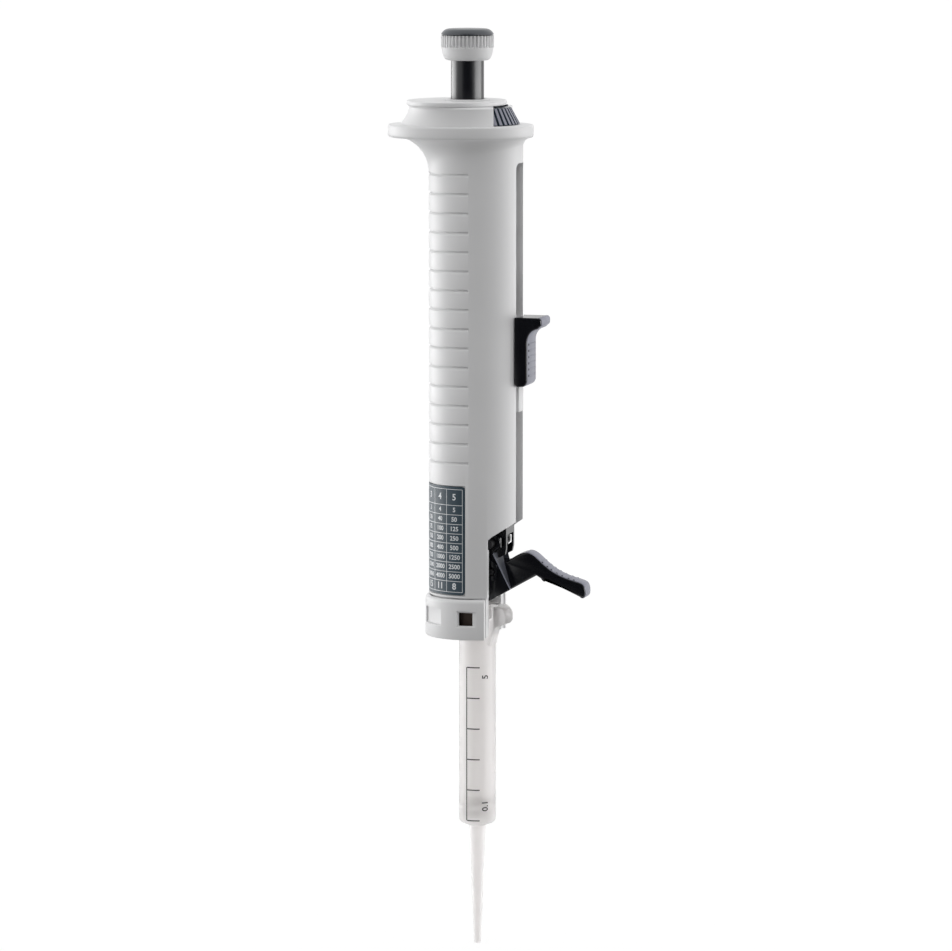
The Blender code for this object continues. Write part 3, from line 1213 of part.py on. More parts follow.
def fill_slider():
    half = SLIDER_HALF_WIDTH
    slider = side_plate("fill_slider", slider_outline(), -half, half, navy_plastic())
    face = SLIDER_STEM_X - 0.35 * MM
    for i in range(6):
        z = SLIDER_BOTTOM + 3.9 * MM + i * PIP_PITCH
        outline = arc((face, z), 2 * PIP_RADIUS, 0, 315, 8)
        unite(slider, side_plate("slider_pip", outline, -0.7 * half, 0.7 * half, navy_plastic()))
    wall = flat_plate(
        "slider_back_cutter", body_outline(SLIDER_BODY_GAP), SLIDER_BOTTOM - MM, SLIDER_TOP + MM, navy_plastic()
    )
    cut(slider, wall)
    for _, z in screw_heights():
        drill(slider, (SLIDER_BACK_X - 2 * MM, 0, z), (SLIDER_BACK_X + 1.9 * MM, 0, z), SCREW_RADIUS + SEAT_GAP, TINY_COUNT)
    return slider


def slider_screws():
    head_start = CARRIAGE_BACK_X + SEAT_GAP
    head_end = CARRIAGE_BACK_X + 2.2 * MM - SEAT_GAP
    for name, z in screw_heights():
        full_name = name + "_slider_screw"
        head = rod(full_name, (head_start, 0, z), (head_end, 0, z), 2 * SCREW_RADIUS, steel(), SMALL_COUNT)
        shank_end = (SLIDER_BACK_X + 1.6 * MM, 0, z)
        unite(head, rod(name + "_shank", (head_start + 0.5 * MM, 0, z), shank_end, SCREW_RADIUS, steel(), TINY_COUNT))


# Dispensing tip

def tip_barrel():
    """The tip's nozzle, barrel and winged head in one moulding."""
    shoulder = NOZZLE_LENGTH
    bore = BARREL_BORE_RADIUS
    head_bottom = TIP_LENGTH - TIP_HEAD_HEIGHT
    round_off = 1.9 * MM
    profile = [(NOZZLE_BORE_RADIUS, 0), (NOZZLE_END_RADIUS - 0.2 * MM, 0), (NOZZLE_END_RADIUS, 0.3 * MM)]
    profile += [(NOZZLE_ROOT_RADIUS, shoulder)]
    corner = arc((BARREL_RADIUS - round_off, shoulder + 0.8 * MM + round_off), round_off, 290, 360, 5)
    profile += corner + [(BARREL_RADIUS, head_bottom - 0.8 * MM), (TIP_HEAD_RADIUS, head_bottom)]
    profile += [(TIP_HEAD_RADIUS, TIP_LENGTH), (bore, TIP_LENGTH), (bore, BARREL_FLOOR)]
    profile += [(NOZZLE_ROOT_RADIUS - 1.2 * MM, BARREL_FLOOR - 1.2 * MM)]
    barrel = turned("tip_barrel", profile, tip_plastic(), steps=FINE_COUNT)
    wings = side_plate("wings", wing_outline(), -WING_HALF_WIDTH, WING_HALF_WIDTH, tip_plastic())
    start = (0, 0, head_bottom - 20 * MM)
    drill(wings, start, (0, 0, TIP_LENGTH + MM), (BARREL_RADIUS + BARREL_BORE_RADIUS) / 2, FINE_COUNT)
    return unite(barrel, wings)


def wing_outline():
    """Front view of the wings: rounded ends over gussets that run down to the barrel."""
    top = TIP_LENGTH
    bottom = TIP_LENGTH - WING_HEIGHT
    corner = 3.0 * MM
    toe = bottom - WING_GUSSET
    right = [(5.6 * MM, toe - 4 * MM), (BARREL_RADIUS + 0.1 * MM, toe - 1 * MM), (BARREL_RADIUS + 1.2 * MM, toe + 1.6 * MM)]
    right += [(WING_REACH - 3.3 * MM, bottom - 1.9 * MM), (WING_REACH - 0.6 * MM, bottom - 0.9 * MM)]
    right += [(WING_REACH, bottom)]
    right += arc((WING_REACH - corner, top - corner), corner, 0, 90, 6)
    left = [(-x, z) for x, z in reversed(right)]
    return right + left


def tip_piston():
    """The piston's rod and head, and the seal at its foot."""
    rod_bottom = SEAL_BOTTOM + SEAL_HEIGHT - 2.0 * MM
    head_bottom = CLAMP_BOTTOM + 0.2 * MM + JAW_HEIGHT + SEAT_GAP
    head_top = head_bottom + PISTON_HEAD_HEIGHT
    stem = PISTON_ROD_RADIUS
    profile = [(0, rod_bottom), (stem, rod_bottom), (stem, head_bottom), (PISTON_HEAD_RADIUS, head_bottom)]
    profile += [(PISTON_HEAD_RADIUS, head_top - 1.6 * MM), (stem, head_top), (0, head_top)]
    turned("tip_piston_rod", profile, tip_plastic(), steps=20)
    outer = BARREL_BORE_RADIUS - 0.15 * MM
    inner = stem + SEAT_GAP
    top = SEAL_BOTTOM + SEAL_HEIGHT
    floor = rod_bottom - SEAT_GAP
    profile = [(0, SEAL_BOTTOM), (outer - 1 * MM, SEAL_BOTTOM), (outer, SEAL_BOTTOM + 0.7 * MM)]
    profile += [(outer, SEAL_BOTTOM + 1.7 * MM), (outer - 0.6 * MM, SEAL_BOTTOM + 2.3 * MM)]
    profile += [(outer - 0.6 * MM, top - 1.8 * MM), (outer, top - 1.2 * MM), (outer, top)]
    profile += [(inner, top), (inner, floor), (0, floor)]
    turned("tip_piston_seal", profile, seal_rubber(), steps=24)


# Tip holder and lock

def tip_holder():
    """The horseshoe socket under the body, with a spigot that fits inside it."""
    outline = body_outline(-HOLDER_INSET)
    holder = flat_plate("tip_holder", outline, HOLDER_BOTTOM, HOLDER_TOP, white_plastic())
    gap = SEAT_GAP
    spigot = egg(BODY_CENTRE_X, BODY_INNER_BACK - gap, BODY_INNER_FRONT - gap, BODY_INNER_HALF - gap)
    unite(holder, flat_plate("spigot", spigot, HOLDER_BOTTOM + MM, HOLDER_TOP + SPIGOT_HEIGHT, white_plastic()))
    far = 40 * MM
    above = HOLDER_TOP + SPIGOT_HEIGHT + 1 * MM
    below = HOLDER_BOTTOM - 1 * MM
    low = (HOLDER_FRONT_X, -far, below)
    cut(holder, box("holder_front_cutter", low, (far, far, above), white_plastic()))
    spigot_hole = egg(BODY_CENTRE_X, SPIGOT_BORE, SPIGOT_BORE + 2 * MM, SPIGOT_BORE, ROUND_COUNT)
    cut(holder, flat_plate("spigot_cutter", spigot_hole, HOLDER_TOP, above, white_plastic()))
    low = (RAIL_FRONT_X + 0.8 * MM, -far, HOLDER_TOP)
    cut(holder, box("spigot_front_cutter", low, (far, far, above), white_plastic()))
    low = (SEAT_BACK_X, -SOCKET_HALF_WIDTH, below)
    cut(holder, box("socket_cutter", low, (far, SOCKET_HALF_WIDTH, above), white_plastic()))
    wing_half = WING_HALF_WIDTH + 2 * SEAT_GAP
    wing_back = -WING_REACH - SEAT_GAP
    low = (wing_back, -wing_half, below)
    cut(holder, box("wing_cutter", low, (0, wing_half, SEAT_BOTTOM), white_plastic()))
    low = (-far, -far, SEAT_TOP)
    back = [(SEAT_BACK_X + MM, -9 * MM), (SEAT_BACK_X + MM, 9 * MM), (-9.5 * MM, 7 * MM), (-9.5 * MM, -7 * MM)]
    cut(holder, flat_plate("seat_top_cutter", back, SEAT_TOP, above, white_plastic()))
    for name, side in SIDES:
        cut_catch_seat(holder, name, side)
        start = (LOCK_PIVOT_X, side * (SOCKET_HALF_WIDTH + 1.2 * MM), LOCK_PIVOT_Z)
        end = (LOCK_PIVOT_X, side * far, LOCK_PIVOT_Z)
        drill(holder, start, end, LOCK_PIN_RADIUS + SEAT_GAP)
    return holder


def catch_levels():
    """Heights of a catch's plate and of its tongue under the tip's head."""
    tongue_top = TIP_LENGTH - TIP_HEAD_HEIGHT - 0.8 * MM - SEAT_GAP
    bottom = LOCK_PIVOT_Z + LOCK_PIN_RADIUS + 3 * SEAT_GAP
    return bottom, HOLDER_TOP - 2.3 * MM, tongue_top - CATCH_THICKNESS, tongue_top


def catch_face():
    """How far from the middle plane a catch's outer face lies."""
    return BODY_HALF_WIDTH - HOLDER_INSET - 0.4 * MM


def cut_catch_seat(holder, name, side):
    """A recess in the holder's wall for the catch's plate, and a slot for its tongue."""
    bottom, top, tongue_bottom, tongue_top = catch_levels()
    gap = SEAT_GAP
    half = CATCH_HALF_WIDTH + gap
    inner = catch_face() - CATCH_THICKNESS - gap
    y = sorted((side * inner, side * 30 * MM))
    low = (-half, y[0], bottom - gap)
    cut(holder, box(name + "_recess", low, (half, y[1], top + gap), white_plastic()))
    y = sorted((side * 2 * MM, side * (inner + MM)))
    low = (-half, y[0], tongue_bottom - gap)
    cut(holder, box(name + "_tongue_way", low, (half, y[1], tongue_top + gap), white_plastic()))


def catches():
    """Steel catches: an upright plate in the holder's wall and a tongue under the tip's head."""
    bottom, top, tongue_bottom, tongue_top = catch_levels()
    outer = catch_face()
    inner = outer - CATCH_THICKNESS
    reach = BARREL_RADIUS + SEAT_GAP
    half = CATCH_HALF_WIDTH
    for name, side in SIDES:
        outline = [(side * outer, bottom), (side * outer, top), (side * inner, top), (side * inner, tongue_top)]
        outline += [(side * reach, tongue_top), (side * reach, tongue_bottom), (side * inner, tongue_bottom)]
        outline += [(side * inner, bottom)]
        points = [(-half, y, z) for y, z in outline]
        extruded(name + "_catch", points, (2 * half, 0, 0), dark_steel())


def tip_lock_lever():
    """The U-shaped lever around the holder, with two windows on each side and blind pivot holes."""
    origin = (LOCK_PIVOT_X, 0, LOCK_PIVOT_Z)
    outer = LOCK_OUTSET
    inner = LOCK_OUTSET - LOCK_WALL
    shoulder = 1.2 * MM
    foot = 0.5 * MM
    rings = [
        at_height(body_outline(outer - foot), LOCK_BOTTOM),
        at_height(body_outline(outer), LOCK_BOTTOM + foot),
        at_height(body_outline(outer), LOCK_TOP - shoulder),
        at_height(body_outline(outer - 0.35 * shoulder), LOCK_TOP - 0.35 * shoulder),
        at_height(body_outline(outer - 0.9 * shoulder), LOCK_TOP),
        at_height(body_outline(inner), LOCK_TOP),
        at_height(body_outline(inner), LOCK_BOTTOM),
    ]
    lever = loft("tip_lock_lever", rings, white_plastic(), closed=True, location=origin)
    far = 40 * MM
    low = (LOCK_FRONT_X, -far, LOCK_BOTTOM - MM)
    cut(lever, box("lock_front_cutter", low, (far, far, LOCK_TOP + MM), white_plastic()))
    width = WINDOW_HALF_WIDTH
    low = (-width, -far, WINDOW_BOTTOM)
    cut(lever, box("side_window_cutter", low, (width, far, WINDOW_TOP), white_plastic()))
    for name, side in SIDES:
        cut(lever, rear_window_cutter(name, side))
        middle = width_of_lock(LOCK_PIVOT_X) - 0.5 * MM
        start = (LOCK_PIVOT_X, side * 9 * MM, LOCK_PIVOT_Z)
        end = (LOCK_PIVOT_X, side * middle, LOCK_PIVOT_Z)
        drill(lever, start, end, LOCK_PIN_RADIUS + SEAT_GAP)
    return lever


def width_of_lock(x):
    """Half the width of the lock lever's outer face at a place along X."""
    reach = (x - BODY_CENTRE_X) / (BODY_FRONT + LOCK_OUTSET)
    return (BODY_HALF_WIDTH + LOCK_OUTSET) * math.sqrt(1 - reach**2)


def rear_window_cutter(name, side):
    """A window at the back corner, cut square to the wall."""
    angle = REAR_WINDOW_ANGLE if side < 0 else math.tau - REAR_WINDOW_ANGLE
    out = Vector((math.cos(angle), math.sin(angle), 0))
    across = Vector((-out.y, out.x, 0)) * WINDOW_HALF_WIDTH
    centre = Vector((BODY_CENTRE_X, 0, WINDOW_BOTTOM))
    start = BODY_BACK - 1.5 * MM
    end = BODY_BACK + 4 * MM
    points = [centre + out * start - across, centre + out * end - across]
    points += [centre + out * end + across, centre + out * start + across]
    return extruded(name + "_rear_window", points, (0, 0, WINDOW_TOP - WINDOW_BOTTOM), white_plastic())


def lock_pins():
    for name, side in SIDES:
        start = (LOCK_PIVOT_X, side * (SOCKET_HALF_WIDTH + 1.2 * MM + SEAT_GAP), LOCK_PIVOT_Z)
        end = (LOCK_PIVOT_X, side * (width_of_lock(LOCK_PIVOT_X) - 0.5 * MM - SEAT_GAP), LOCK_PIVOT_Z)
        rod(name + "_lock_pin", start, end, LOCK_PIN_RADIUS, steel())


def lock_spring():
    """The leaf spring between the holder's back and the lock lever."""
    radius = BODY_BACK - HOLDER_INSET + SEAT_GAP
    centre = (BODY_CENTRE_X, 0.0)
    outline = arc(centre, radius + 0.4 * MM, 160, 200, 9) + arc(centre, radius, 200, 160, 9)
    return flat_plate("lock_spring", outline, LOCK_TOP - 7.4 * MM, LOCK_TOP - 1 * MM, steel())


def lever_return_spring():
    """The torsion spring around the far pivot pin, between the cheek and the body's wall."""
    radius = PIVOT_PIN_RADIUS + SEAT_GAP
    wire = 0.25 * MM
    outer = width_inside_body(OPENING_BACK_X) - SEAT_GAP
    inner = CHEEK_OUTER + SEAT_GAP
    turns = 2
    steps = 12 * turns
    rings = []
    for i in range(steps + 1):
        angle = math.tau * i / 12
        y = inner + wire + (outer - inner - 2 * wire) * i / steps
        ring = []
        for k in range(5):
            turn = math.tau * k / 5
            reach = radius + wire + wire * math.cos(turn)
            x = LEVER_PIVOT_X + reach * math.cos(angle)
            z = LEVER_PIVOT_Z + reach * math.sin(angle)
            ring.append((x, y + wire * math.sin(turn), z))
        rings.append(ring)
    return loft("lever_return_spring", rings, steel())


def build():
    for obj in list(bpy.data.objects):
        bpy.data.objects.remove(obj)
    body_shell()
    label_plate()
    top_collar()
    collar_screws()
    volume_dial()
    dial_cam()
    dial_detent()
    button_ring()
    button_cap()
    button_stem()
    stem_retainer()
    guide_bush()
    stem_foot()
    foot_screw()
    eject_rod()
    release_yoke()
    button_spring()
    guide_plate()
    pawl_bracket()
    pawl("hold_pawl", HOLD_PAWL_PIN_Z)
    pawl("drive_pawl", DRIVE_PAWL_PIN_Z)
    pawl_pins()
    drive_frame()
    stop_rod()
    dispensing_lever()
    lever_pins()
    lever_return_spring()
    piston_clamp()
    clamp_jaws()
    toothed_rack()
    slider_carriage()
    fill_slider()
    slider_screws()
    tip_barrel()
    tip_piston()
    tip_holder()
    catches()
    tip_lock_lever()
    lock_pins()
    lock_spring()


build()
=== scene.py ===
from math import acos, copysign, cos, degrees, hypot, pi, radians, sin, sqrt, tan, tau

import bmesh
import bpy
from mathutils import Matrix, Vector


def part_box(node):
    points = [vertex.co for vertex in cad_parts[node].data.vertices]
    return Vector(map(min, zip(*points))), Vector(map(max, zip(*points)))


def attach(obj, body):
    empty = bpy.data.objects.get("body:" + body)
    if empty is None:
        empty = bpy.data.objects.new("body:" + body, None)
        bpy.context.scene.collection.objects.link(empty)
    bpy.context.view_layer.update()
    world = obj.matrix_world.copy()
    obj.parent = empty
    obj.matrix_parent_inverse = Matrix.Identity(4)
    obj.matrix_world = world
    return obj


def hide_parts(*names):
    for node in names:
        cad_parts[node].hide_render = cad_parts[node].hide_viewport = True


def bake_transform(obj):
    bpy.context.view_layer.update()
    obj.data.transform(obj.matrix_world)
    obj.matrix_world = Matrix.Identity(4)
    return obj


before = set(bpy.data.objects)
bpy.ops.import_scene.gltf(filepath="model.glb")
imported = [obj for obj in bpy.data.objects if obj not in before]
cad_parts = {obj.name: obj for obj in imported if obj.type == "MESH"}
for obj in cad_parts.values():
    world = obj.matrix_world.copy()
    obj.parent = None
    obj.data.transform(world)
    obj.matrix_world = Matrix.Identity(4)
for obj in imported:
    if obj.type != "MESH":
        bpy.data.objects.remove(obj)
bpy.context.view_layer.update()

MM = 0.001
UP = Vector((0, 0, 1))
SIDES = {"near": -1, "far": 1}

# Camera: where it stands, in degrees and metres, and how the photograph frames the pipette
CAMERA_AZIMUTH = radians(15.0)
CAMERA_REACH = 1.6866
CAMERA_HEIGHT = 0.3727
CAMERA_AIM_HEIGHT = 0.1596
CAMERA_LENS = 191.9
CAMERA_SENSOR = 36.0
CAMERA_SIGHT = 200.0
IMAGE_WIDTH = 952
SHIFT_PIXELS = (-1.5, -0.5)

# Facets of round shapes
FINE = 144
TIP_STEPS = 96
ROUND = 64
SMALL = 24
CORNER_POINTS = 8
BAR_SIDES = 16
FLOOR_SIDES = 48
ROD_TURN = radians(7)
SMOOTH_ANGLE = radians(35)
SOFTEN_ANGLE = radians(50)
MERGE_DISTANCE = 0.002 * MM

# How far a cutter reaches past the face that it cuts
PAST = 2 * MM

# Body: an egg in plan, with a flange, grip grooves, a slot and an opening at the front
BODY_LOW, BODY_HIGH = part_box("body_shell")
BODY_CENTRE_X = -1.5 * MM
BODY_HALF_WIDTH = 14.8 * MM
BODY_BACK = 14.8 * MM
BODY_FRONT = 16.8 * MM
BODY_FRONT_X = BODY_CENTRE_X + BODY_FRONT
BODY_WALL = 2.2 * MM
BODY_EDGE = 0.3 * MM
BODY_BOTTOM = BODY_LOW.z
SEAT_GAP = 0.3 * MM
FLANGE_TOP = BODY_HIGH.z
FLANGE_THICKNESS = 4.3 * MM
FLANGE_UNDERSIDE = FLANGE_TOP - FLANGE_THICKNESS
FLANGE_CENTRE_X = (BODY_LOW.x + BODY_HIGH.x) / 2
FLANGE_HALF_LENGTH = (BODY_HIGH.x - BODY_LOW.x) / 2 - 0.6 * MM
FLANGE_HALF_WIDTH = BODY_HIGH.y
FLANGE_EDGE = 0.9 * MM
FLANGE_TOP_EDGE = 0.6 * MM
SWEEP_BACK = 12.0 * MM
SWEEP_SIDE = 5.2 * MM
SWEEP_FRONT = 2.8 * MM
SWEEP_STEPS = 14
GROOVE_COUNT = 16
GROOVE_TOP = FLANGE_TOP - 16.0 * MM
GROOVE_PITCH = 6.39 * MM
GROOVE_DEPTH = 0.6 * MM
GROOVE_END_ANGLE = acos((0.7 * MM - BODY_CENTRE_X) / BODY_FRONT)
GROOVE_END_STEP = 0.1 * MM / BODY_HALF_WIDTH
SLOT_HALF_WIDTH = 4.05 * MM
SLOT_TOP = FLANGE_TOP - 12.5 * MM
SLOT_SPLAY = tan(radians(24))
SLOT_UPRIGHT = 0.85 * BODY_WALL
SLOT_CORNER = 1.6 * MM
OPENING_BACK_X = 6.7 * MM
OPENING_CORNER = 0.8 * MM
OPENING_CORNER_Z = BODY_BOTTOM + 19.75 * MM
OPENING_SLOPE = tan(radians(33.5))
PIVOT_PIN_RADIUS = 1.5 * MM
COLLAR_SCREW_X = -22.7 * MM
COLLAR_SCREW_Y = 4.0 * MM
COLLAR_SCREW_START = FLANGE_UNDERSIDE - 3 * MM
COLLAR_SCREW_HOLES = ((2.2 * MM, 5 * MM), (1.3 * MM, 12 * MM))
COLLAR_SCREW_TOP = FLANGE_TOP + 1.9 * MM
HUB_GAP = 0.7 * MM
SKIRT_OUTER = -1.1 * MM
SKIRT_INNER = -1.8 * MM
SKIRT_DROP = 2.2 * MM

# Grip groove in section: millimetres up from its middle, and the share of its depth
GROOVE_SHAPE = (
    (0.46, 0.0), (0.42, 0.12), (0.38, 0.85), (0.30, 1.0), (0.0, 1.0), (-0.55, 0.30), (-0.70, 0.08),
    (-0.82, 0.0),
)

# Label: rows from the top in shares of its height, and the plain numbers in them
LABEL_LOW, LABEL_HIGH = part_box("label_plate")
LABEL_REACH = 1.2 * MM
LABEL_ROWS = (16.2, 9.7, 9.7, 9.7, 9.7, 9.7, 9.7, 9.7, 9.7, 11.0)
LABEL_STEPS = (1, 10, 25, 50, 100, 250, 500, 1000)
LABEL_COUNTS = (48, 23, 15, 11, 8)
LABEL_COLUMNS = 8
LABEL_SETTINGS = 5
LABEL_MARGIN = 0.95 * MM
LABEL_LINE = 0.16 * MM
LABEL_END_GAP = 0.1 * MM
LABEL_CORNER = 1.3 * MM
LABEL_DEPTH = 0.5 * MM
LABEL_STEP = 0.8 * MM
LABEL_ARC_POINTS = 61
BIG_FIGURE = 3.0 * MM
SMALL_FIGURE = 2.1 * MM
INK_LIFT = 0.03 * MM
FIGURE_STEP = 0.5 * MM
FIGURE_WEIGHT = 0.018

# Button, from its stem up to its cap
STEM_LOW, STEM_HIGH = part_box("button_stem")
RING_LOW, RING_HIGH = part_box("button_ring")
BUSH_LOW, BUSH_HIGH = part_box("guide_bush")
BUTTON_AXIS_X = (STEM_LOW.x + STEM_HIGH.x) / 2
STEM_RADIUS = (STEM_HIGH.x - STEM_LOW.x) / 2
STEM_EDGE = 0.2 * MM
STEM_GROOVE = BUSH_LOW.z - 2.3 * MM
STEM_GROOVE_WIDTH = 1.8 * MM
STEM_GROOVE_DEPTH = 0.6 * MM
STEM_BORE = 1.4 * MM
STEM_BORE_DEPTH = 7 * MM
RING_RADIUS = (RING_HIGH.x - RING_LOW.x) / 2
RING_TAPER_HEIGHT = 4.6 * MM
RING_RIBS = 42
RING_RIB_DEPTH = 0.95 * MM
CAP_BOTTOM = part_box("button_cap")[0].z - 0.08 * MM
CAP_RADIUS = RING_RADIUS - 0.02 * MM
CAP_HEIGHT = 2.05 * MM
BUSH_OUTER = (BUSH_HIGH.x - BUSH_LOW.x) / 2
BUSH_INNER = BUSH_OUTER - 1.4 * MM
BUSH_EDGE = 0.3 * MM
SPRING_TURNS = 7
SPRING_TURN_STEPS = 24
SPRING_WIRE = 0.35 * MM
SPRING_SIDES = 10

# Cap in section: the share of its radius that it draws in, and the share of its height
CAP_SHAPE = (
    (0.0, 0.06), (0.018, 0.2), (0.045, 0.38), (0.085, 0.56), (0.135, 0.73), (0.20, 0.87), (0.28, 0.955),
    (0.4, 0.985),
)

# Taper under the ring in section: millimetres inside its radius, and up from its bottom
TAPER_SHAPE = (
    (2.9, 0.0), (2.2, 0.05), (1.65, 0.3), (1.15, 0.75), (0.85, 1.3), (0.6, 2.0), (0.38, 2.9), (0.22, 3.7),
)

# Ribs in plan: the share of the pitch and the share of the depth at each point
DIAL_RIB = (
    (0.0, 0.06), (0.06, 0.0), (0.58, 0.0), (0.64, 0.06), (0.69, 0.9), (0.74, 1.0), (0.90, 1.0), (0.95, 0.9),
)
FLUTE = (
    (0.0, 0.04), (0.08, 0.0), (0.26, 0.0), (0.34, 0.04), (0.42, 0.7), (0.52, 1.0), (0.82, 1.0), (0.92, 0.7),
)

# Dial and the collar over it
DIAL_LOW, DIAL_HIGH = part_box("volume_dial")
DIAL_BASE_RADIUS = (DIAL_HIGH.x - DIAL_LOW.x) / 2
DIAL_TOP_RADIUS = DIAL_BASE_RADIUS - 3.0 * MM
DIAL_BOTTOM = FLANGE_TOP + 0.1 * MM
DIAL_RIBS = 48
DIAL_RIB_DEPTH = 0.7 * MM
DIAL_EDGE = 0.25 * MM
DIAL_SLOPE = (DIAL_BASE_RADIUS - DIAL_TOP_RADIUS) / (DIAL_HIGH.z - DIAL_BOTTOM)
DIAL_EDGE_RADIUS = DIAL_TOP_RADIUS + DIAL_SLOPE * DIAL_EDGE
DIAL_HUB_WALL = 2.5 * MM
# Painted sheen on the dial's ribs: the share of each rib's pitch that it covers, and how far it stands off
DIAL_SHEEN_SPAN = (0.07, 0.57)
DIAL_SHEEN_LIFT = 0.04 * MM
COLLAR_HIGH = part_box("top_collar")[1]
COLLAR_BASE = FLANGE_TOP + 0.03 * MM
COLLAR_CENTRE_X = -5.7 * MM
COLLAR_BASE_HALF_LENGTH = 20.3 * MM
COLLAR_BASE_HALF_WIDTH = COLLAR_HIGH.y
COLLAR_NECK_BACK = 17.2 * MM
COLLAR_NECK_FRONT = 19.5 * MM
COLLAR_NECK_HALF_WIDTH = 18.5 * MM
COLLAR_FLARE = 1.6
COLLAR_ROWS = 14
COLLAR_GAP = 0.35 * MM
LIP_CENTRE_X = -7.1 * MM
LIP_HALF_LENGTH = 16.5 * MM
LIP_HALF_WIDTH = 18.8 * MM
LIP_TOP = COLLAR_HIGH.z - 0.4 * MM
LIP_BOTTOM = LIP_TOP - 1.6 * MM
LIP_EDGE = 0.4 * MM
NECK_TOP = LIP_BOTTOM - 0.6 * MM
WINDOW_X = 5.2 * MM
WINDOW_SPLAY = tan(radians(16.0))

# Fill slider and its carriage
SLIDER_LOW, SLIDER_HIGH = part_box("fill_slider")
CARRIAGE_LOW, CARRIAGE_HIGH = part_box("slider_carriage")
SLIDER_EDGE = 0.5 * MM
SLIDER_BACK_X = BODY_FRONT_X - 2.5 * MM
SLIDER_TOP = SLIDER_HIGH.z + 0.5 * MM
SLIDER_BOTTOM = SLIDER_LOW.z + 1.6 * MM
THUMB_FACE_X = 18.6 * MM
HEEL_CORNER = 1.2 * MM
TOE_CORNER = 2.2 * MM
HOOK_X = SLIDER_HIGH.x + 0.2 * MM
HOOK_BOTTOM = SLIDER_TOP - 2.9 * MM
HOOK_LIP = 1.0 * MM
HOOK_CORNER = 1.1 * MM
HOLLOW_CENTRE = (HOOK_X - 0.6 * MM, HOOK_BOTTOM - 5.0 * MM)
THUMB_CROWN_RADIUS = 200.0 * MM
THUMB_BARS = 6
THUMB_BAR_FIRST = SLIDER_LOW.z + 5.3 * MM
THUMB_BAR_PITCH = 2.07 * MM
THUMB_BAR_HALF_LENGTH = 4.2 * MM
SLIDER_SCREW_HOLE = 1.4 * MM
SLIDER_SCREW_HEAD = 2.5 * MM
SLIDER_SCREW_HEAD_DEPTH = 2.2 * MM
# The pale pads are painted sheen laid thin over the navy faces; their bars are real and share the painted
# colour
PAD_BAR_RADIUS = 0.48 * MM
PAD_BAR_RISE = 0.28 * MM
PAD_LIFT = 0.07 * MM
PAD_DEPTH = 0.3 * MM
PAD_EDGE = 0.06 * MM
PAD_SINK = PAD_BAR_RADIUS - PAD_LIFT - PAD_BAR_RISE
BAR_SHAPE = ((-1.0, 0.5), (-0.96, 0.85), (-0.9, 1.0), (0.9, 1.0), (0.96, 0.85), (1.0, 0.5))
CROWN_SLICES = (-1.0, -0.985, -0.94, -0.86, -0.7, -0.45, -0.2, 0.0, 0.2, 0.45, 0.7, 0.86, 0.94, 0.985, 1.0)

# Dispensing lever; its outlines are in millimetres from its pivot
LEVER_PIVOT_X = 6.55 * MM
LEVER_PIVOT_Z = BODY_BOTTOM + 17.9 * MM
CAM_PIN = (LEVER_PIVOT_X + 0.5 * MM, LEVER_PIVOT_Z - 9.5 * MM, 1.0 * MM)
ARM_HALF_WIDTH = 3.7 * MM
ARM_EDGE = 0.7 * MM
ARM_SHEEN_START = 10.5 * MM
ARM_BAR_PLACES = (16.6, 18.2, 19.9, 21.7, 23.5, 25.4, 27.2)
ARM_TOP = (
    (4.85, -6.2), (8.05, -4.2), (10.05, -3.4), (11.85, -3.25), (13.65, -4.0), (15.5, -5.5), (17.4, -7.2),
    (19.7, -8.9), (22.05, -10.2), (24.45, -11.2), (27.45, -12.1), (29.85, -12.8), (30.95, -13.5),
    (31.5, -14.8), (31.6, -16.4), (31.3, -17.5), (30.6, -17.9), (29.8, -17.6),
)
ARM_BELLY = (
    (29.8, -17.6), (26.0, -15.9), (21.5, -13.9), (18.3, -12.5), (17.6, -12.85), (16.9, -12.7), (16.2, -11.8),
)
ARM_ROOT = (0.65, -6.5)
ARM_FOOT = (14.7, 5.45)
LOWER_EDGE_START = (-1.05, -19.8)
LOWER_EDGE_SLOPE = tan(radians(29.5))
CHEEK_INNER = 5.7 * MM
CHEEK_OUTER = 7.4 * MM
CHEEK_EDGE = 0.3 * MM
CHEEK_BOSS = 3.2
CHEEK_HEEL = (-2.35, -18.7)
CHEEK_TOP = (0.6, -3.26)
CHEEK_FOOT = (-1.55, 6.75)
CHEEK_HIGHLIGHT_RADIUS = 0.26 * MM
RAMP_SHARES = (0.0, 0.5, 0.97)
RAMP_BACK = 2.0
RAMP_TOP_REACH = 2.2
RAMP_FOOT_REACH = -0.7

# Lock lever around the tip's socket
LOCK_LOW, LOCK_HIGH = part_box("tip_lock_lever")
LOCK_OUTSET = LOCK_HIGH.y - BODY_HALF_WIDTH
LOCK_WALL = 1.45 * MM
LOCK_FOOT = 0.5 * MM
LOCK_SHOULDER = 1.3 * MM
LOCK_SHOULDER_SHARE = 0.85
LOCK_PIN_RADIUS = 1.0 * MM
LOCK_PIN_INNER = 9 * MM
LOCK_PIVOT_X = 3.9 * MM
LOCK_PIVOT_Z = LOCK_LOW.z + 2.0 * MM
CATCH_BOTTOM = LOCK_LOW.z + 4.3 * MM
CATCH_TOP = CATCH_BOTTOM + 5.6 * MM
CATCH_FRAME_X = (-3.05 * MM, 6.1 * MM)
CATCH_HOLE_X = (-2.5 * MM, 2.25 * MM)
CATCH_SLOPE_DEPTH = 1.15 * MM
CATCH_DEPTH = 3.4 * MM
REAR_ANGLE = radians(225)
REAR_HALF_WIDTH = 5.4 * MM
REAR_DEPTH = 0.33 * MM
REAR_SLOPE = 0.6 * MM

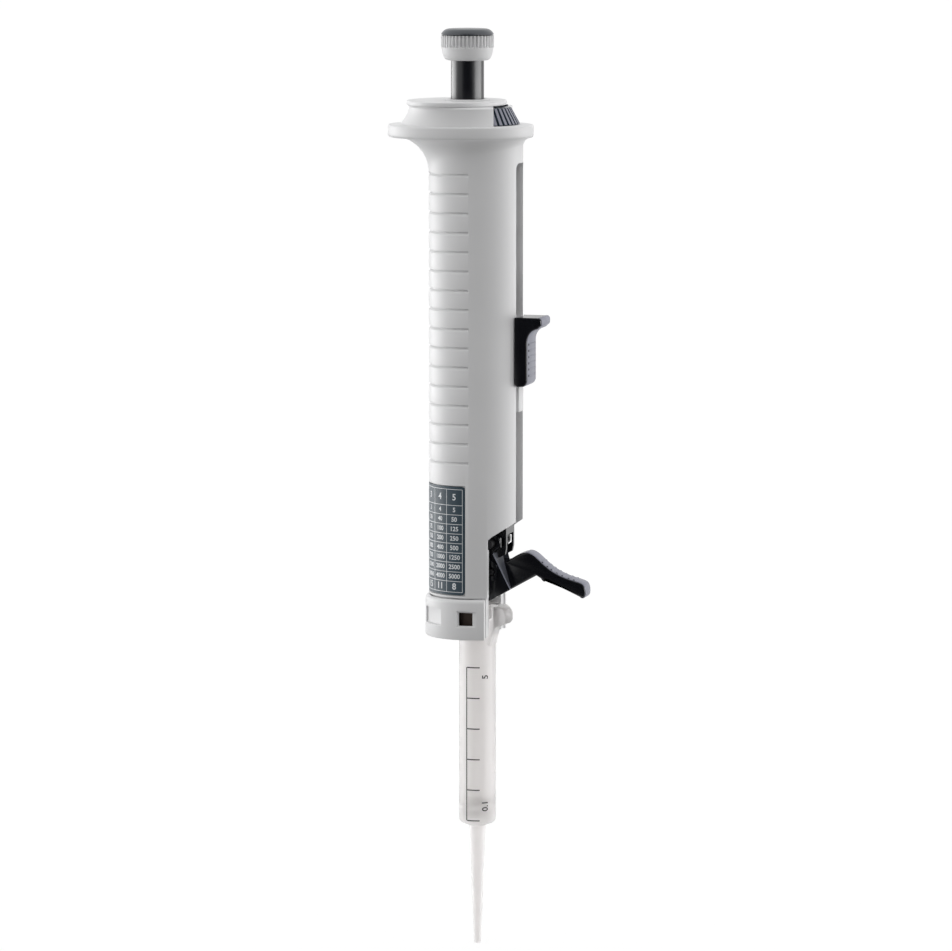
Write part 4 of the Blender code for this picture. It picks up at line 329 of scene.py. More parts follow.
# Dispensing tip
TIP_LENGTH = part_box("tip_barrel")[1].z
NOZZLE_BORE_RADIUS = 0.5 * MM
NOZZLE_BORE_CONE = 1.2 * MM
NOZZLE_END_RADIUS = 1.17 * MM
NOZZLE_ROOT_RADIUS = 2.75 * MM
NOZZLE_LENGTH = 40.6 * MM
BARREL_RADIUS = 6.2 * MM
BARREL_BORE_RADIUS = 5.52 * MM
BARREL_SHOULDER = 1.9 * MM
BARREL_FLOOR = 43.4 * MM
HEAD_RADIUS = 7.4 * MM
HEAD_EDGE = 0.2 * MM
HEAD_BOTTOM = TIP_LENGTH - 4.1 * MM
WING_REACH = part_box("tip_barrel")[1].x - 0.3 * MM
WING_HALF_WIDTH = 4.2 * MM
WING_EDGE = 0.3 * MM
WING_CORNER = 3.0 * MM
WING_END_RADIUS = 6.0 * MM
WING_TOP = TIP_LENGTH - 0.4 * MM
WING_BOTTOM = TIP_LENGTH - 5.1 * MM
WING_TOE = WING_BOTTOM - 4.6 * MM
REAR_GUSSET_SHARE = 0.6
SCALE_LINE_ANGLE = radians(249.2)
SCALE_LINE = 0.38 * MM
SCALE_BOTTOM = 43.0 * MM
SCALE_TOP = 95.2 * MM
SCALE_TICKS = 6
SCALE_TICK_REACH = 4.6 * MM
SCALE_FIGURES = (("5", SCALE_TOP - 3.2 * MM), ("0.1", SCALE_BOTTOM + 5.0 * MM))

# Clear plastics differ in how strongly they bend light
CLEAR = {"grain": 1400.0, "transmission": 0.85}

# Finishes: colour, roughness, how much the colour clouds, strength of the grain, and what else differs
CLOUD_SCALE = 60.0
CLOUD_SPAN = (0.3, 0.7)
GLOSS_SHARES = (0.88, 1.12)
GRAIN_SCALE = 2200.0
GRAIN_HEIGHT = 0.05 * MM
FINISHES = {
    "white_plastic": ((0.80, 0.80, 0.805), 0.42, 0.012, 0.10, {"grain": 2600.0, "specular": 0.15}),
    "navy_plastic": ((0.004, 0.0045, 0.007), 0.2, 0.15, 0.03, {"grain": 3000.0}),
    "stem_plastic": ((0.004, 0.0045, 0.008), 0.31, 0.15, 0.03, {"grain": 3000.0}),
    "blue_grey_plastic": ((0.018, 0.033, 0.054), 0.16, 0.06, 0.04, {"specular": 0.8}),
    "cap_plastic": ((0.010, 0.018, 0.030), 0.30, 0.06, 0.04, {"specular": 1.0}),
    # Painted sheen: a pale blue-grey that stands for the side light's reflection on glossy navy and blue-grey
    # plastic
    "rib_plastic": ((0.215, 0.22, 0.275), 0.42, 0.04, 0.06, {}),
    # Painted sheen: a paler slate that stands for a weaker reflection of the side light on navy plastic
    "slate_plastic": ((0.085, 0.09, 0.11), 0.4, 0.05, 0.05, {}),
    "grey_plastic": ((0.46, 0.445, 0.445), 0.5, 0.04, 0.08, {}),
    "label_film": ((0.040, 0.064, 0.084), 0.4, 0.05, 0.03, {"grain": 1500.0, "specular": 0.3}),
    "label_ink": ((0.80, 0.82, 0.84), 0.45, 0.03, 0.03, {"specular": 0.3}),
    "scale_ink": ((0.03, 0.03, 0.032), 0.5, 0.1, 0.03, {}),
    "tip_plastic": ((0.92, 0.905, 0.90), 0.42, 0.006, 0.05, {**CLEAR, "ior": 1.3}),
    "piston_plastic": ((0.97, 0.965, 0.96), 0.3, 0.006, 0.05, {**CLEAR, "ior": 1.2}),
    "black_steel": ((0.012, 0.012, 0.014), 0.35, 0.15, 0.06, {}),
    "steel": ((0.56, 0.56, 0.57), 0.28, 0.05, 0.10, {"metallic": 1.0, "drawn": (1.0, 1.0, 0.08)}),
    "dark_steel": ((0.060, 0.046, 0.040), 0.38, 0.15, 0.12, {"metallic": 1.0, "drawn": (0.08, 1.0, 1.0)}),
}
SHADER_SOCKETS = {
    "specular": "Specular IOR Level",
    "metallic": "Metallic",
    "transmission": "Transmission Weight",
    "ior": "IOR",
}

# CAD nodes that keep their shape and get a finish
KEPT_FINISHES = {
    "white_plastic": ("tip_holder", "eject_rod"),
    "grey_plastic": ("toothed_rack", "guide_plate", "pawl_bracket", "dial_cam", "stem_foot", "release_yoke"),
    "navy_plastic": ("piston_clamp", "drive_frame"),
    "black_steel": ("near_pivot_pin", "far_pivot_pin", "near_cam_pin", "far_cam_pin"),
    "piston_plastic": ("tip_piston_rod", "tip_piston_seal"),
    "dark_steel": ("near_catch", "far_catch"),
    "steel": (
        "near_lock_pin", "far_lock_pin", "hold_pawl_pin", "drive_pawl_pin", "hold_pawl", "drive_pawl",
        "near_jaw", "far_jaw", "stop_rod", "stem_retainer", "foot_screw", "detent_ball", "detent_spring",
        "near_collar_screw", "far_collar_screw", "lower_slider_screw", "upper_slider_screw", "lock_spring",
        "lever_return_spring",
    ),
}

# Floor, and the black flag that reflections see: (reach, height) along its sweep, in metres
FLOOR_REACH = 60.0
FLOOR_HEIGHT = -0.0002
FLOOR_GLOW = 0.83
FLOOR_COLOUR = (0.2, 0.2, 0.2, 1.0)
FLAG_COLOUR = (0.01, 0.01, 0.01, 1.0)
FLAG_TURN = 36
FLAG_STEP = 4
FLAG_SWEEP = ((0.25, 0.002), (1.1, 0.002), (1.2, 0.1), (1.2, 2.2))

# Soft boxes: name, degrees round from the camera, and width in metres
SIDE_PANELS = (("left_panel", -112.0, 1.5), ("right_panel", 82.0, 1.7))
PANEL_REACH = 1.6
PANEL_MIDDLE = 0.30
PANEL_HEIGHT = 0.7
PANEL_RADIANCE = 5.5

# Tent light: (share, strength), with share 0 away from the camera or straight down, and 1 the other way
TENT_PEAK = 8.0
TENT_SIDES = (
    (0.0, 0.9), (0.10, 1.3), (0.20, 4.8), (0.30, 7.2), (0.44, 7.2), (0.53, 5.0), (0.60, 1.8), (0.75, 0.5),
    (0.88, 0.02),
)
TENT_BAND = ((0.32, 0.0), (0.39, 0.5), (0.46, 1.0), (0.53, 0.5), (0.60, 0.0))
TENT_DOME = ((0.0, 0.45), (0.25, 0.42), (0.36, 0.02), (0.54, 0.02), (0.66, 0.5), (0.78, 1.0))


# Materials

def add_node(tree, kind, inputs, **settings):
    """A shader node; each of its inputs is linked to a socket or set to a value."""
    node = tree.nodes.new("ShaderNode" + kind)
    for key, value in settings.items():
        setattr(node, key, value)
    for key, value in inputs.items():
        feed(tree, node.inputs[key], value)
    return node


def feed(tree, socket, value):
    if isinstance(value, bpy.types.NodeSocket):
        tree.links.new(value, socket)
    else:
        socket.default_value = value


def add_noise(tree, coords, scale, detail):
    inputs = {"Vector": coords, "Scale": scale, "Detail": detail, "Roughness": 0.6}
    return add_node(tree, "TexNoise", inputs).outputs["Fac"]


def add_ramp(tree, factor, stops):
    """A colour ramp through stops of (position, colour)."""
    node = add_node(tree, "ValToRGB", {"Fac": factor})
    elements = node.color_ramp.elements
    while len(elements) < len(stops):
        elements.new(0.5)
    for element, (position, colour) in zip(elements, stops):
        element.position = position
        element.color = (*colour, 1.0)
    return node.outputs["Color"]


def add_range(tree, value, low, high, new_low, new_high):
    inputs = {"Value": value, "From Min": low, "From Max": high, "To Min": new_low, "To Max": new_high}
    return add_node(tree, "MapRange", inputs).outputs["Result"]


def new_tree(name):
    """The node tree of a new material."""
    material = bpy.data.materials.new(name)
    material.use_nodes = True
    return material.node_tree


def add_finish(name, colour, roughness, tint, bump, grain=GRAIN_SCALE, drawn=None, **sockets):
    """A moulded or machined surface: faint clouding of its colour, fine grain and an uneven gloss."""
    tree = new_tree(name)
    shader = tree.nodes["Principled BSDF"]
    coords = add_node(tree, "TexCoord", {}).outputs["Object"]
    clouds = add_noise(tree, coords, CLOUD_SCALE, 4.0)
    dark = tuple(channel * (1 - tint) for channel in colour)
    light = tuple(min(channel * (1 + tint), 1.0) for channel in colour)
    feed(tree, shader.inputs["Base Color"], add_ramp(tree, clouds, list(zip(CLOUD_SPAN, (dark, light)))))
    gloss = add_range(tree, clouds, *CLOUD_SPAN, *(roughness * share for share in GLOSS_SHARES))
    feed(tree, shader.inputs["Roughness"], gloss)
    if drawn:
        coords = add_node(tree, "Mapping", {"Vector": coords, "Scale": drawn}).outputs["Vector"]
    grains = add_noise(tree, coords, grain, 3.0)
    relief = add_node(tree, "Bump", {"Strength": bump, "Distance": GRAIN_HEIGHT, "Height": grains})
    feed(tree, shader.inputs["Normal"], relief.outputs["Normal"])
    for key, value in sockets.items():
        shader.inputs[SHADER_SOCKETS[key]].default_value = value


def surface(name):
    """The material with a name, made at its first use."""
    if name not in bpy.data.materials:
        *values, extra = FINISHES[name]
        add_finish(name, *values, **extra)
    return bpy.data.materials[name]


# Mesh helpers

def new_object(name, finish, bm):
    """One mesh object from a bmesh, smooth but for its sharp edges."""
    bmesh.ops.recalc_face_normals(bm, faces=bm.faces)
    mesh = bpy.data.meshes.new(name)
    bm.to_mesh(mesh)
    bm.free()
    mesh.materials.append(surface(finish))
    obj = bpy.data.objects.new(name, mesh)
    bpy.context.scene.collection.objects.link(obj)
    shade(mesh)
    return obj


def shade(mesh):
    mesh.shade_smooth()
    mesh.set_sharp_from_angle(angle=SMOOTH_ANGLE)


def baked_mesh(obj):
    """A new mesh of what an object's modifiers or text make."""
    bpy.context.view_layer.update()
    graph = bpy.context.evaluated_depsgraph_get()
    return bpy.data.meshes.new_from_object(obj.evaluated_get(graph))


def settle(obj):
    """Turns what the modifiers make into the object's own mesh."""
    mesh = baked_mesh(obj)
    obj.modifiers.clear()
    old = obj.data
    obj.data = mesh
    bpy.data.meshes.remove(old)
    mesh.name = obj.name
    shade(mesh)
    return obj


def combine(obj, other, operation):
    """Applies a boolean at once and removes the other object."""
    modifier = obj.modifiers.new("combine", "BOOLEAN")
    modifier.operation = operation
    modifier.object = other
    settle(obj)
    bpy.data.objects.remove(other)


def carve(obj, maker, *values):
    """Cuts away the shape that a maker, such as rod or loft, makes from the values."""
    combine(obj, maker("cutter", obj.data.materials[0].name, *values), "DIFFERENCE")


def soften(obj, width, segments):
    """Rounds an object's sharp edges."""
    modifier = obj.modifiers.new("soften", "BEVEL")
    modifier.width = width
    modifier.segments = segments
    modifier.limit_method = "ANGLE"
    modifier.angle_limit = SOFTEN_ANGLE
    modifier.miter_outer = "MITER_ARC"
    modifier.use_clamp_overlap = True
    return settle(obj)


def skin(bm, rings, closed=False):
    """Faces from ring to ring, with both ends capped unless the last ring meets the first."""
    rows = [[bm.verts.new(point) for point in ring] for ring in rings]
    pairs = list(zip(rows, rows[1:]))
    if closed:
        pairs.append((rows[-1], rows[0]))
    count = len(rows[0])
    for low, high in pairs:
        for i in range(count):
            j = (i + 1) % count
            bm.faces.new((low[i], low[j], high[j], high[i]))
    if not closed:
        bm.faces.new(rows[0][::-1])
        bm.faces.new(rows[-1])


def loft(name, finish, rings, closed=False):
    bm = bmesh.new()
    skin(bm, rings, closed)
    return new_object(name, finish, bm)


def turned(name, finish, profile, axis_x, steps=FINE):
    """Turns a closed outline of (radius, height) points about an upright axis."""
    bm = bmesh.new()
    verts = [bm.verts.new((axis_x + radius, 0, height)) for radius, height in profile]
    edges = []
    for i, vert in enumerate(verts):
        j = (i + 1) % len(verts)
        if profile[i][0] > 0 or profile[j][0] > 0:
            edges.append(bm.edges.new((vert, verts[j])))
    centre = (axis_x, 0, 0)
    bmesh.ops.spin(bm, geom=verts + edges, cent=centre, axis=UP, angle=tau, steps=steps, use_merge=True)
    bmesh.ops.remove_doubles(bm, verts=bm.verts, dist=MERGE_DISTANCE)
    return new_object(name, finish, bm)


def extruded(name, finish, points, offset):
    bm = bmesh.new()
    face = bm.faces.new([bm.verts.new(point) for point in points])
    swept = bmesh.ops.extrude_face_region(bm, geom=[face])
    moved = [item for item in swept["geom"] if isinstance(item, bmesh.types.BMVert)]
    bmesh.ops.translate(bm, verts=moved, vec=Vector(offset))
    return new_object(name, finish, bm)


def side_plate(name, finish, outline, y_low, y_high):
    """A plate whose outline is given in X and Z."""
    return extruded(name, finish, [(x, y_low, z) for x, z in outline], (0, y_high - y_low, 0))


def flat_plate(name, finish, outline, z_low, z_high):
    """A plate whose outline is given in X and Y."""
    return extruded(name, finish, at_height(outline, z_low), (0, 0, z_high - z_low))


def add_rod(bm, start, end, radius, steps):
    start = Vector(start)
    along = Vector(end) - start
    turn = UP.rotation_difference(along).to_matrix().to_4x4()
    turn.translation = start + along / 2
    turn = turn @ Matrix.Rotation(ROD_TURN, 4, "Z")
    size = {"radius1": radius, "radius2": radius, "depth": along.length}
    bmesh.ops.create_cone(bm, cap_ends=True, segments=steps, matrix=turn, **size)


def rod(name, finish, start, end, radius, steps=SMALL):
    bm = bmesh.new()
    add_rod(bm, start, end, radius, steps)
    return new_object(name, finish, bm)


def crowned(name, finish, outline, half_width, edge, drop=None):
    """A plate in X and Z with rounded side edges; drop(x, y) is how far a point moves back in X."""
    turns = sum(a[0] * b[1] - b[0] * a[1] for a, b in zip(outline, outline[1:] + outline[:1]))
    facing = 1 if turns > 0 else -1
    rings = []
    for share in CROWN_SLICES:
        y = share * half_width
        near_edge = max(0.0, abs(y) - (half_width - edge)) / edge
        inset = facing * edge * (1 - sqrt(max(0.0, 1 - near_edge ** 2)))
        ring = []
        for i, (x, z) in enumerate(outline):
            along = (Vector(outline[(i + 1) % len(outline)]) - Vector(outline[i - 1])).normalized()
            back = drop(x, y) if drop else 0.0
            ring.append((x - back - along.y * inset, y, z + along.x * inset))
        rings.append(ring)
    return loft(name, finish, rings)


# Outlines

def between(low, high, share):
    return low + (high - low) * share


def arc(centre, radius, start, end, count):
    """Points of a circular arc in a plane, from one angle to another, both in degrees."""
    step = (end - start) / (count - 1)
    return [polar(radius, radians(start + step * i), *centre) for i in range(count)]


def polar(radius, angle, x=0.0, y=0.0):
    """A point round a centre."""
    return x + radius * cos(angle), y + radius * sin(angle)


def smooth_line(points, steps):
    """An open line through the points, with rounded stretches between them."""
    line = []
    last = len(points) - 1
    for i in range(last):
        before = Vector(points[max(i - 1, 0)])
        start = Vector(points[i])
        end = Vector(points[i + 1])
        after = Vector(points[min(i + 2, last)])
        for k in range(steps):
            t = k / steps
            bend = (2 * before - 5 * start + 4 * end - after) * t * t
            twist = (3 * start - before - 3 * end + after) * t ** 3
            line.append(tuple((2 * start + (end - before) * t + bend + twist) / 2))
    line.append(tuple(points[last]))
    return line


def quarter(edge, steps):
    """(inset, rise) up a quarter circle that rounds a bottom edge, or (drop, inset) for a top edge."""
    return [(edge * (1 - sin(a)), edge * (1 - cos(a))) for a in quarter_angles(steps)]


def quarter_angles(steps):
    return [radians(90 * i / steps) for i in range(steps + 1)]


def rounded_rim(low, low_edge, low_steps, high, high_edge, high_steps):
    """(inset, height) up a rim whose lower and upper edges are rounded."""
    rim = [(inset, low + rise) for inset, rise in quarter(low_edge, low_steps)]
    return rim + [(inset, high - drop) for drop, inset in quarter(high_edge, high_steps)]


def even_angles(count=FINE):
    return [tau * i / count for i in range(count)]


def at_height(outline, z):
    return [(x, y, z) for x, y in outline]


def egg_point(angle, centre_x, back, front, half):
    reach = front if cos(angle) > 0 else back
    return centre_x + reach * cos(angle), half * sin(angle)


def button_circle(radius, angles):
    """A circle round the button's axis."""
    return [polar(radius, angle, BUTTON_AXIS_X) for angle in angles]


def button_ring_at(radius, z, count):
    return at_height(button_circle(radius, even_angles(count)), z)


def ribbed_ring(radius, depth, ribs, z, shape):
    """A ring of ribs round the button's axis."""
    points = []
    for i in range(ribs):
        for share, inset in shape:
            angle = tau * (i + share) / ribs
            points.append((*polar(radius - depth * inset, angle, BUTTON_AXIS_X), z))
    return points


def body_point(offset, angle):
    return egg_point(angle, BODY_CENTRE_X, BODY_BACK + offset, BODY_FRONT + offset, BODY_HALF_WIDTH + offset)


def body_ring(offset, z, angles):
    return at_height([body_point(offset, angle) for angle in angles], z)


def half_width_at(x, offset):
    """Half the width at X, in front of the centre, of the body's outline moved out by an offset."""
    reach = (x - BODY_CENTRE_X) / (BODY_FRONT + offset)
    return (BODY_HALF_WIDTH + offset) * sqrt(1 - reach ** 2)


# Pieces that stand for a CAD node ride on its body and take its place; the node is hidden

def stand_for(piece, body, *nodes):
    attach(piece, body)
    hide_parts(*nodes)


def trim(piece, body):
    """A small piece on top of a node that is drawn elsewhere."""
    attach(piece, body)


# Body shell

def sweep_radius(angle):
    """The fillet under the flange is large at the back, small at the front."""
    end = SWEEP_FRONT if cos(angle) > 0 else SWEEP_BACK
    return between(SWEEP_SIDE, end, cos(angle) ** 2)


def flange_point(angle, inset):
    length = FLANGE_HALF_LENGTH - inset
    return egg_point(angle, FLANGE_CENTRE_X, length, length, FLANGE_HALF_WIDTH - inset)


def flange_ring(inset, z, angles):
    return at_height([flange_point(angle, inset) for angle in angles], z)


def sweep_ring(level, angles):
    """One ring of the sweep; level runs from 0, where it leaves the body, to 1, at the flange."""
    points = []
    for angle in angles:
        radius = sweep_radius(angle)
        x, y = body_point(0.0, angle)
        end_x, end_y = flange_point(angle, FLANGE_EDGE)
        gap = hypot(end_x - x, end_y - y)
        share = min(radius * (1 - sqrt(1 - level ** 2)) / gap, 1.0)
        z = FLANGE_UNDERSIDE - radius * (1 - level)
        points.append((between(x, end_x, share), between(y, end_y, share), z))
    return points


def body_angles():
    """Even steps, with two close pairs where the grip grooves end."""
    angles = even_angles()
    for edge in (GROOVE_END_ANGLE, GROOVE_END_ANGLE - GROOVE_END_STEP):
        angles += [edge, tau - edge]
    return sorted(angles)


def groove_rings(angles):
    """Rings up the grip: each groove has a floor and two rounded lips."""
    end = GROOVE_END_ANGLE - 0.01 * GROOVE_END_STEP
    rings = []
    for index in reversed(range(GROOVE_COUNT)):
        middle = GROOVE_TOP - index * GROOVE_PITCH
        for offset, depth in reversed(GROOVE_SHAPE):
            ring = []
            for angle in angles:
                inset = GROOVE_DEPTH * depth if end < angle < tau - end else 0.0
                ring.append((*body_point(-inset, angle), middle + offset * MM))
            rings.append(ring)
    return rings


def opening_outline():
    """The front opening in side view: an upright back edge, then a slope up to the slot."""
    front = BODY_FRONT_X + 2.5 * PAST
    bottom = BODY_BOTTOM - PAST
    return [
        (OPENING_BACK_X, bottom),
        (front, bottom),
        (front, OPENING_CORNER_Z + (front - OPENING_BACK_X) * OPENING_SLOPE),
        (OPENING_BACK_X + OPENING_CORNER, OPENING_CORNER_Z + OPENING_CORNER * OPENING_SLOPE),
        (OPENING_BACK_X + 0.25 * OPENING_CORNER, OPENING_CORNER_Z - 0.1 * OPENING_CORNER),
        (OPENING_BACK_X, OPENING_CORNER_Z - 0.6 * OPENING_CORNER),
    ]


def slot_outline(x, spread):
    """The slider's slot at one depth, wider on both sides by a spread."""
    side = SLOT_HALF_WIDTH - SLOT_CORNER
    corner = SLOT_CORNER + spread
    wide = SLOT_HALF_WIDTH + spread
    outline = arc((side, SLOT_TOP - corner), corner, 0, 90, CORNER_POINTS)
    outline += arc((-side, SLOT_TOP - corner), corner, 90, 180, CORNER_POINTS)
    outline += [(-wide, OPENING_CORNER_Z), (wide, OPENING_CORNER_Z)]
    return [(x, y, z) for y, z in outline]


def slot_rings():
    """The slot's sides are upright on the inside and splay towards the front."""
    inside = slot_outline(BODY_FRONT_X - BODY_WALL - 2 * PAST, 0)
    upright = slot_outline(BODY_FRONT_X - SLOT_UPRIGHT, 0)
    return [inside, upright, slot_outline(BODY_FRONT_X + PAST, SLOT_SPLAY * (PAST + SLOT_UPRIGHT))]


def body_shell():
    angles = body_angles()
    plate_bottom = FLANGE_UNDERSIDE + SEAT_GAP
    rings = [
        body_ring(-BODY_EDGE, BODY_BOTTOM, angles),
        body_ring(-0.3 * BODY_EDGE, BODY_BOTTOM + 0.3 * BODY_EDGE, angles),
        body_ring(0.0, BODY_BOTTOM + BODY_EDGE, angles),
    ]
    rings += groove_rings(angles)
    rings += [sweep_ring(sin(a), angles) for a in quarter_angles(SWEEP_STEPS)]
    rim = rounded_rim(FLANGE_UNDERSIDE, FLANGE_EDGE, 4, FLANGE_TOP, FLANGE_TOP_EDGE, 3)
    rings += [flange_ring(inset, z, angles) for inset, z in rim]
    hub = button_circle(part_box("dial_cam")[1].x - BUTTON_AXIS_X + HUB_GAP, angles)
    rings += [at_height(hub, FLANGE_TOP), at_height(hub, plate_bottom)]
    rings += [body_ring(-BODY_WALL, plate_bottom, angles), body_ring(-BODY_WALL, BODY_BOTTOM, angles)]
    shell = loft("body_casing", "white_plastic", rings, closed=True)
    reach = 2 * BODY_HALF_WIDTH
    carve(shell, side_plate, opening_outline(), -reach, reach)
    carve(shell, loft, slot_rings())
    recess = label_plan(LABEL_DEPTH + 0.1 * MM, PAST / 2, -degrees(LABEL_REACH / BODY_BACK))
    carve(shell, flat_plate, recess, LABEL_LOW.z - SEAT_GAP, LABEL_HIGH.z + SEAT_GAP)
    pin_end = half_width_at(LEVER_PIVOT_X, -BODY_WALL) + BODY_WALL / 2
    for side in SIDES.values():
        start = (LEVER_PIVOT_X, side * CHEEK_INNER, LEVER_PIVOT_Z)
        end = (LEVER_PIVOT_X, side * pin_end, LEVER_PIVOT_Z)
        carve(shell, rod, start, end, PIVOT_PIN_RADIUS + SEAT_GAP)
        start = Vector((COLLAR_SCREW_X, side * COLLAR_SCREW_Y, COLLAR_SCREW_START))
        for radius, depth in COLLAR_SCREW_HOLES:
            carve(shell, rod, start, start + depth * UP, radius)
    stand_for(shell, "housing", "body_shell")


# Ink, and patches of painted sheen, laid on a curved surface by place(across, z, lift)

def ink_patch(bm, place, steps, left, right, bottom, top, lift=INK_LIFT):
    """A thin raised rectangle that follows a surface."""
    corners = ((bottom, -lift), (top, -lift), (top, lift), (bottom, lift))
    shares = [i / steps for i in range(steps + 1)]
    skin(bm, [[place(between(left, right, share), z, out) for z, out in corners] for share in shares])


def steps_over(length, most):
    """How many steps keep each under the most."""
    return max(2, int(length / most) + 1)


def text_mesh(words, height):
    """A flat mesh of plain figures, centred on the origin, in X and Y."""
    curve = bpy.data.curves.new("figures", "FONT")
    curve.body = words
    curve.size = height
    curve.align_x = "CENTER"
    curve.align_y = "CENTER"
    curve.extrude = INK_LIFT
    curve.offset = FIGURE_WEIGHT * height
    curve.resolution_u = 3
    obj = bpy.data.objects.new("figures", curve)
    bpy.context.scene.collection.objects.link(obj)
    mesh = baked_mesh(obj)
    bpy.data.objects.remove(obj)
    bpy.data.curves.remove(curve)
    return mesh


def add_text(bm, words, height, place):
    """Adds figures, cut fine enough to follow a curve; place(x, y, lift) gives each point's position."""
    mesh = text_mesh(words, height)
    flat = bmesh.new()
    flat.from_mesh(mesh)
    bpy.data.meshes.remove(mesh)
    for _ in range(2):
        long_edges = [edge for edge in flat.edges if edge.calc_length() > FIGURE_STEP]
        bmesh.ops.subdivide_edges(flat, edges=long_edges, cuts=1)
        bmesh.ops.triangulate(flat, faces=flat.faces)
    verts = {vert: bm.verts.new(place(*vert.co)) for vert in flat.verts}
    for face in flat.faces:
        bm.faces.new([verts[vert] for vert in face.verts])
    flat.free()


# Label around the lower back

def label_plan(inset, outset, trim_angle):
    """The label in plan, from inside the body's face to outside it, shortened at both ends by an angle."""
    centre = (BODY_CENTRE_X, 0.0)
    start, end = 90 + trim_angle, 270 - trim_angle
    outer = arc(centre, BODY_BACK + outset, start, end, LABEL_ARC_POINTS)
    return outer + arc(centre, BODY_BACK - inset, end, start, LABEL_ARC_POINTS)


def label_point(across, z, lift):
    """A point on the label: across runs round the back from its near edge, in metres of arc."""
    angle = 1.5 * pi + (LABEL_REACH - across) / BODY_BACK
    return *polar(BODY_BACK + lift, angle, BODY_CENTRE_X), z


def label_film():
    """The film, with rounded corners at both ends."""
    plan = label_plan(LABEL_DEPTH, 0.0, degrees((LABEL_END_GAP - LABEL_REACH) / BODY_BACK))
    film = flat_plate("label_plate_film", "label_film", plan, LABEL_LOW.z, LABEL_HIGH.z)
    edge_x = BODY_CENTRE_X + LABEL_REACH - LABEL_END_GAP
    for side in SIDES.values():
        for z, inward in ((LABEL_LOW.z, 1), (LABEL_HIGH.z, -1)):
            centre = (edge_x - LABEL_CORNER, z + inward * LABEL_CORNER)
            outer_z = z - inward * MM
            outline = arc(centre, LABEL_CORNER, 0, -90 * inward, CORNER_POINTS)
            outline += [(centre[0], outer_z), (edge_x + MM, outer_z), (edge_x + MM, centre[1])]
            carve(film, side_plate, outline, side * 10 * MM, side * 20 * MM)
    stand_for(film, "housing", "label_plate")


def label_ink():
    """White rules and plain numbers: a column for each dial setting, a row for each tip."""
    bm = bmesh.new()
    top = LABEL_HIGH.z - LABEL_MARGIN
    bottom = LABEL_LOW.z + LABEL_MARGIN
    width = pi * BODY_BACK + 2 * LABEL_REACH - 2 * LABEL_MARGIN
    pitch = width / LABEL_COLUMNS
    scale = (top - bottom) / sum(LABEL_ROWS)
    levels = [top]
    for row in LABEL_ROWS:
        levels.append(levels[-1] - row * scale)

    def rule(left, right, low, high):
        ink_patch(bm, label_point, steps_over(right - left, LABEL_STEP), left, right, low, high)

    for z in levels:
        rule(LABEL_MARGIN, LABEL_MARGIN + width, z - LABEL_LINE / 2, z + LABEL_LINE / 2)
    for column in range(LABEL_COLUMNS + 1):
        x = LABEL_MARGIN + column * pitch
        rule(x - LABEL_LINE / 2, x + LABEL_LINE / 2, bottom, top)
    for column in range(LABEL_COLUMNS):
        middle = LABEL_MARGIN + (column + 0.5) * pitch
        for row in range(len(LABEL_ROWS)):
            z = (levels[row] + levels[row + 1]) / 2
            words = label_words(LABEL_SETTINGS - column, row)
            height = BIG_FIGURE if row in (0, len(LABEL_ROWS) - 1) else SMALL_FIGURE
            if words:
                add_text(bm, words, height, lambda x, y, lift: label_point(middle - x, z + y, lift))
    trim(new_object("label_figures", "label_ink", bm), "housing")


def label_words(setting, row):
    """The number in a cell; the columns past the lowest setting give each tip's step, place and ten steps."""
    if row == 0:
        return str(setting) if setting > 0 else ""
    if row == len(LABEL_ROWS) - 1:
        return str(LABEL_COUNTS[setting - 1]) if setting > 0 else ""
    step = LABEL_STEPS[row - 1]
    return str(setting * step if setting > 0 else (step, row, 10 * step)[-setting])


# Collar over the dial

def collar_rings(angles):
    """Rings from the base up over the lip."""
    rings = []
    for i in range(COLLAR_ROWS + 1):
        share = i / COLLAR_ROWS
        flare = (1 - share) ** COLLAR_FLARE
        back = between(COLLAR_NECK_BACK, COLLAR_BASE_HALF_LENGTH, flare)
        front = between(COLLAR_NECK_FRONT, COLLAR_BASE_HALF_LENGTH, flare)
        half = between(COLLAR_NECK_HALF_WIDTH, COLLAR_BASE_HALF_WIDTH, flare)
        outline = [egg_point(angle, COLLAR_CENTRE_X, back, front, half) for angle in angles]
        rings.append(at_height(outline, between(COLLAR_BASE, NECK_TOP, share)))
    for inset, z in rounded_rim(LIP_BOTTOM, LIP_EDGE, 3, LIP_TOP, LIP_EDGE, 3):
        length = LIP_HALF_LENGTH - inset
        outline = [egg_point(angle, LIP_CENTRE_X, length, length, LIP_HALF_WIDTH - inset) for angle in angles]
        rings.append(at_height(outline, z))
    return rings


def top_collar():
    """The collar, hollow over the dial, with a window at the front and holes for its screws."""
    collar = loft("collar", "white_plastic", collar_rings(even_angles()))
    below = COLLAR_BASE - 1 * MM
    roof = LIP_BOTTOM - 0.1 * MM
    foot = DIAL_BASE_RADIUS + COLLAR_GAP
    cone = [(0, below), (foot, below), (foot, DIAL_BOTTOM), (DIAL_TOP_RADIUS + COLLAR_GAP, roof), (0, roof)]
    carve(collar, turned, cone, BUTTON_AXIS_X)
    start, end = (BUTTON_AXIS_X, 0, COLLAR_BASE), (BUTTON_AXIS_X, 0, COLLAR_HIGH.z + MM)
    carve(collar, rod, start, end, BUSH_OUTER + SEAT_GAP, ROUND)
    reach = 2 * COLLAR_BASE_HALF_WIDTH
    near_x = WINDOW_X + reach * WINDOW_SPLAY
    front = near_x + reach
    window = [(WINDOW_X, 0), (near_x, -reach), (front, -reach), (front, reach), (near_x, reach)]
    carve(collar, flat_plate, window, below, LIP_BOTTOM + 0.05 * MM)
    for side in SIDES.values():
        x, y = COLLAR_SCREW_X, side * COLLAR_SCREW_Y
        carve(collar, rod, (x, y, below), (x, y, COLLAR_SCREW_TOP), COLLAR_SCREW_HOLES[1][0])
    stand_for(collar, "housing", "top_collar")


# Volume dial

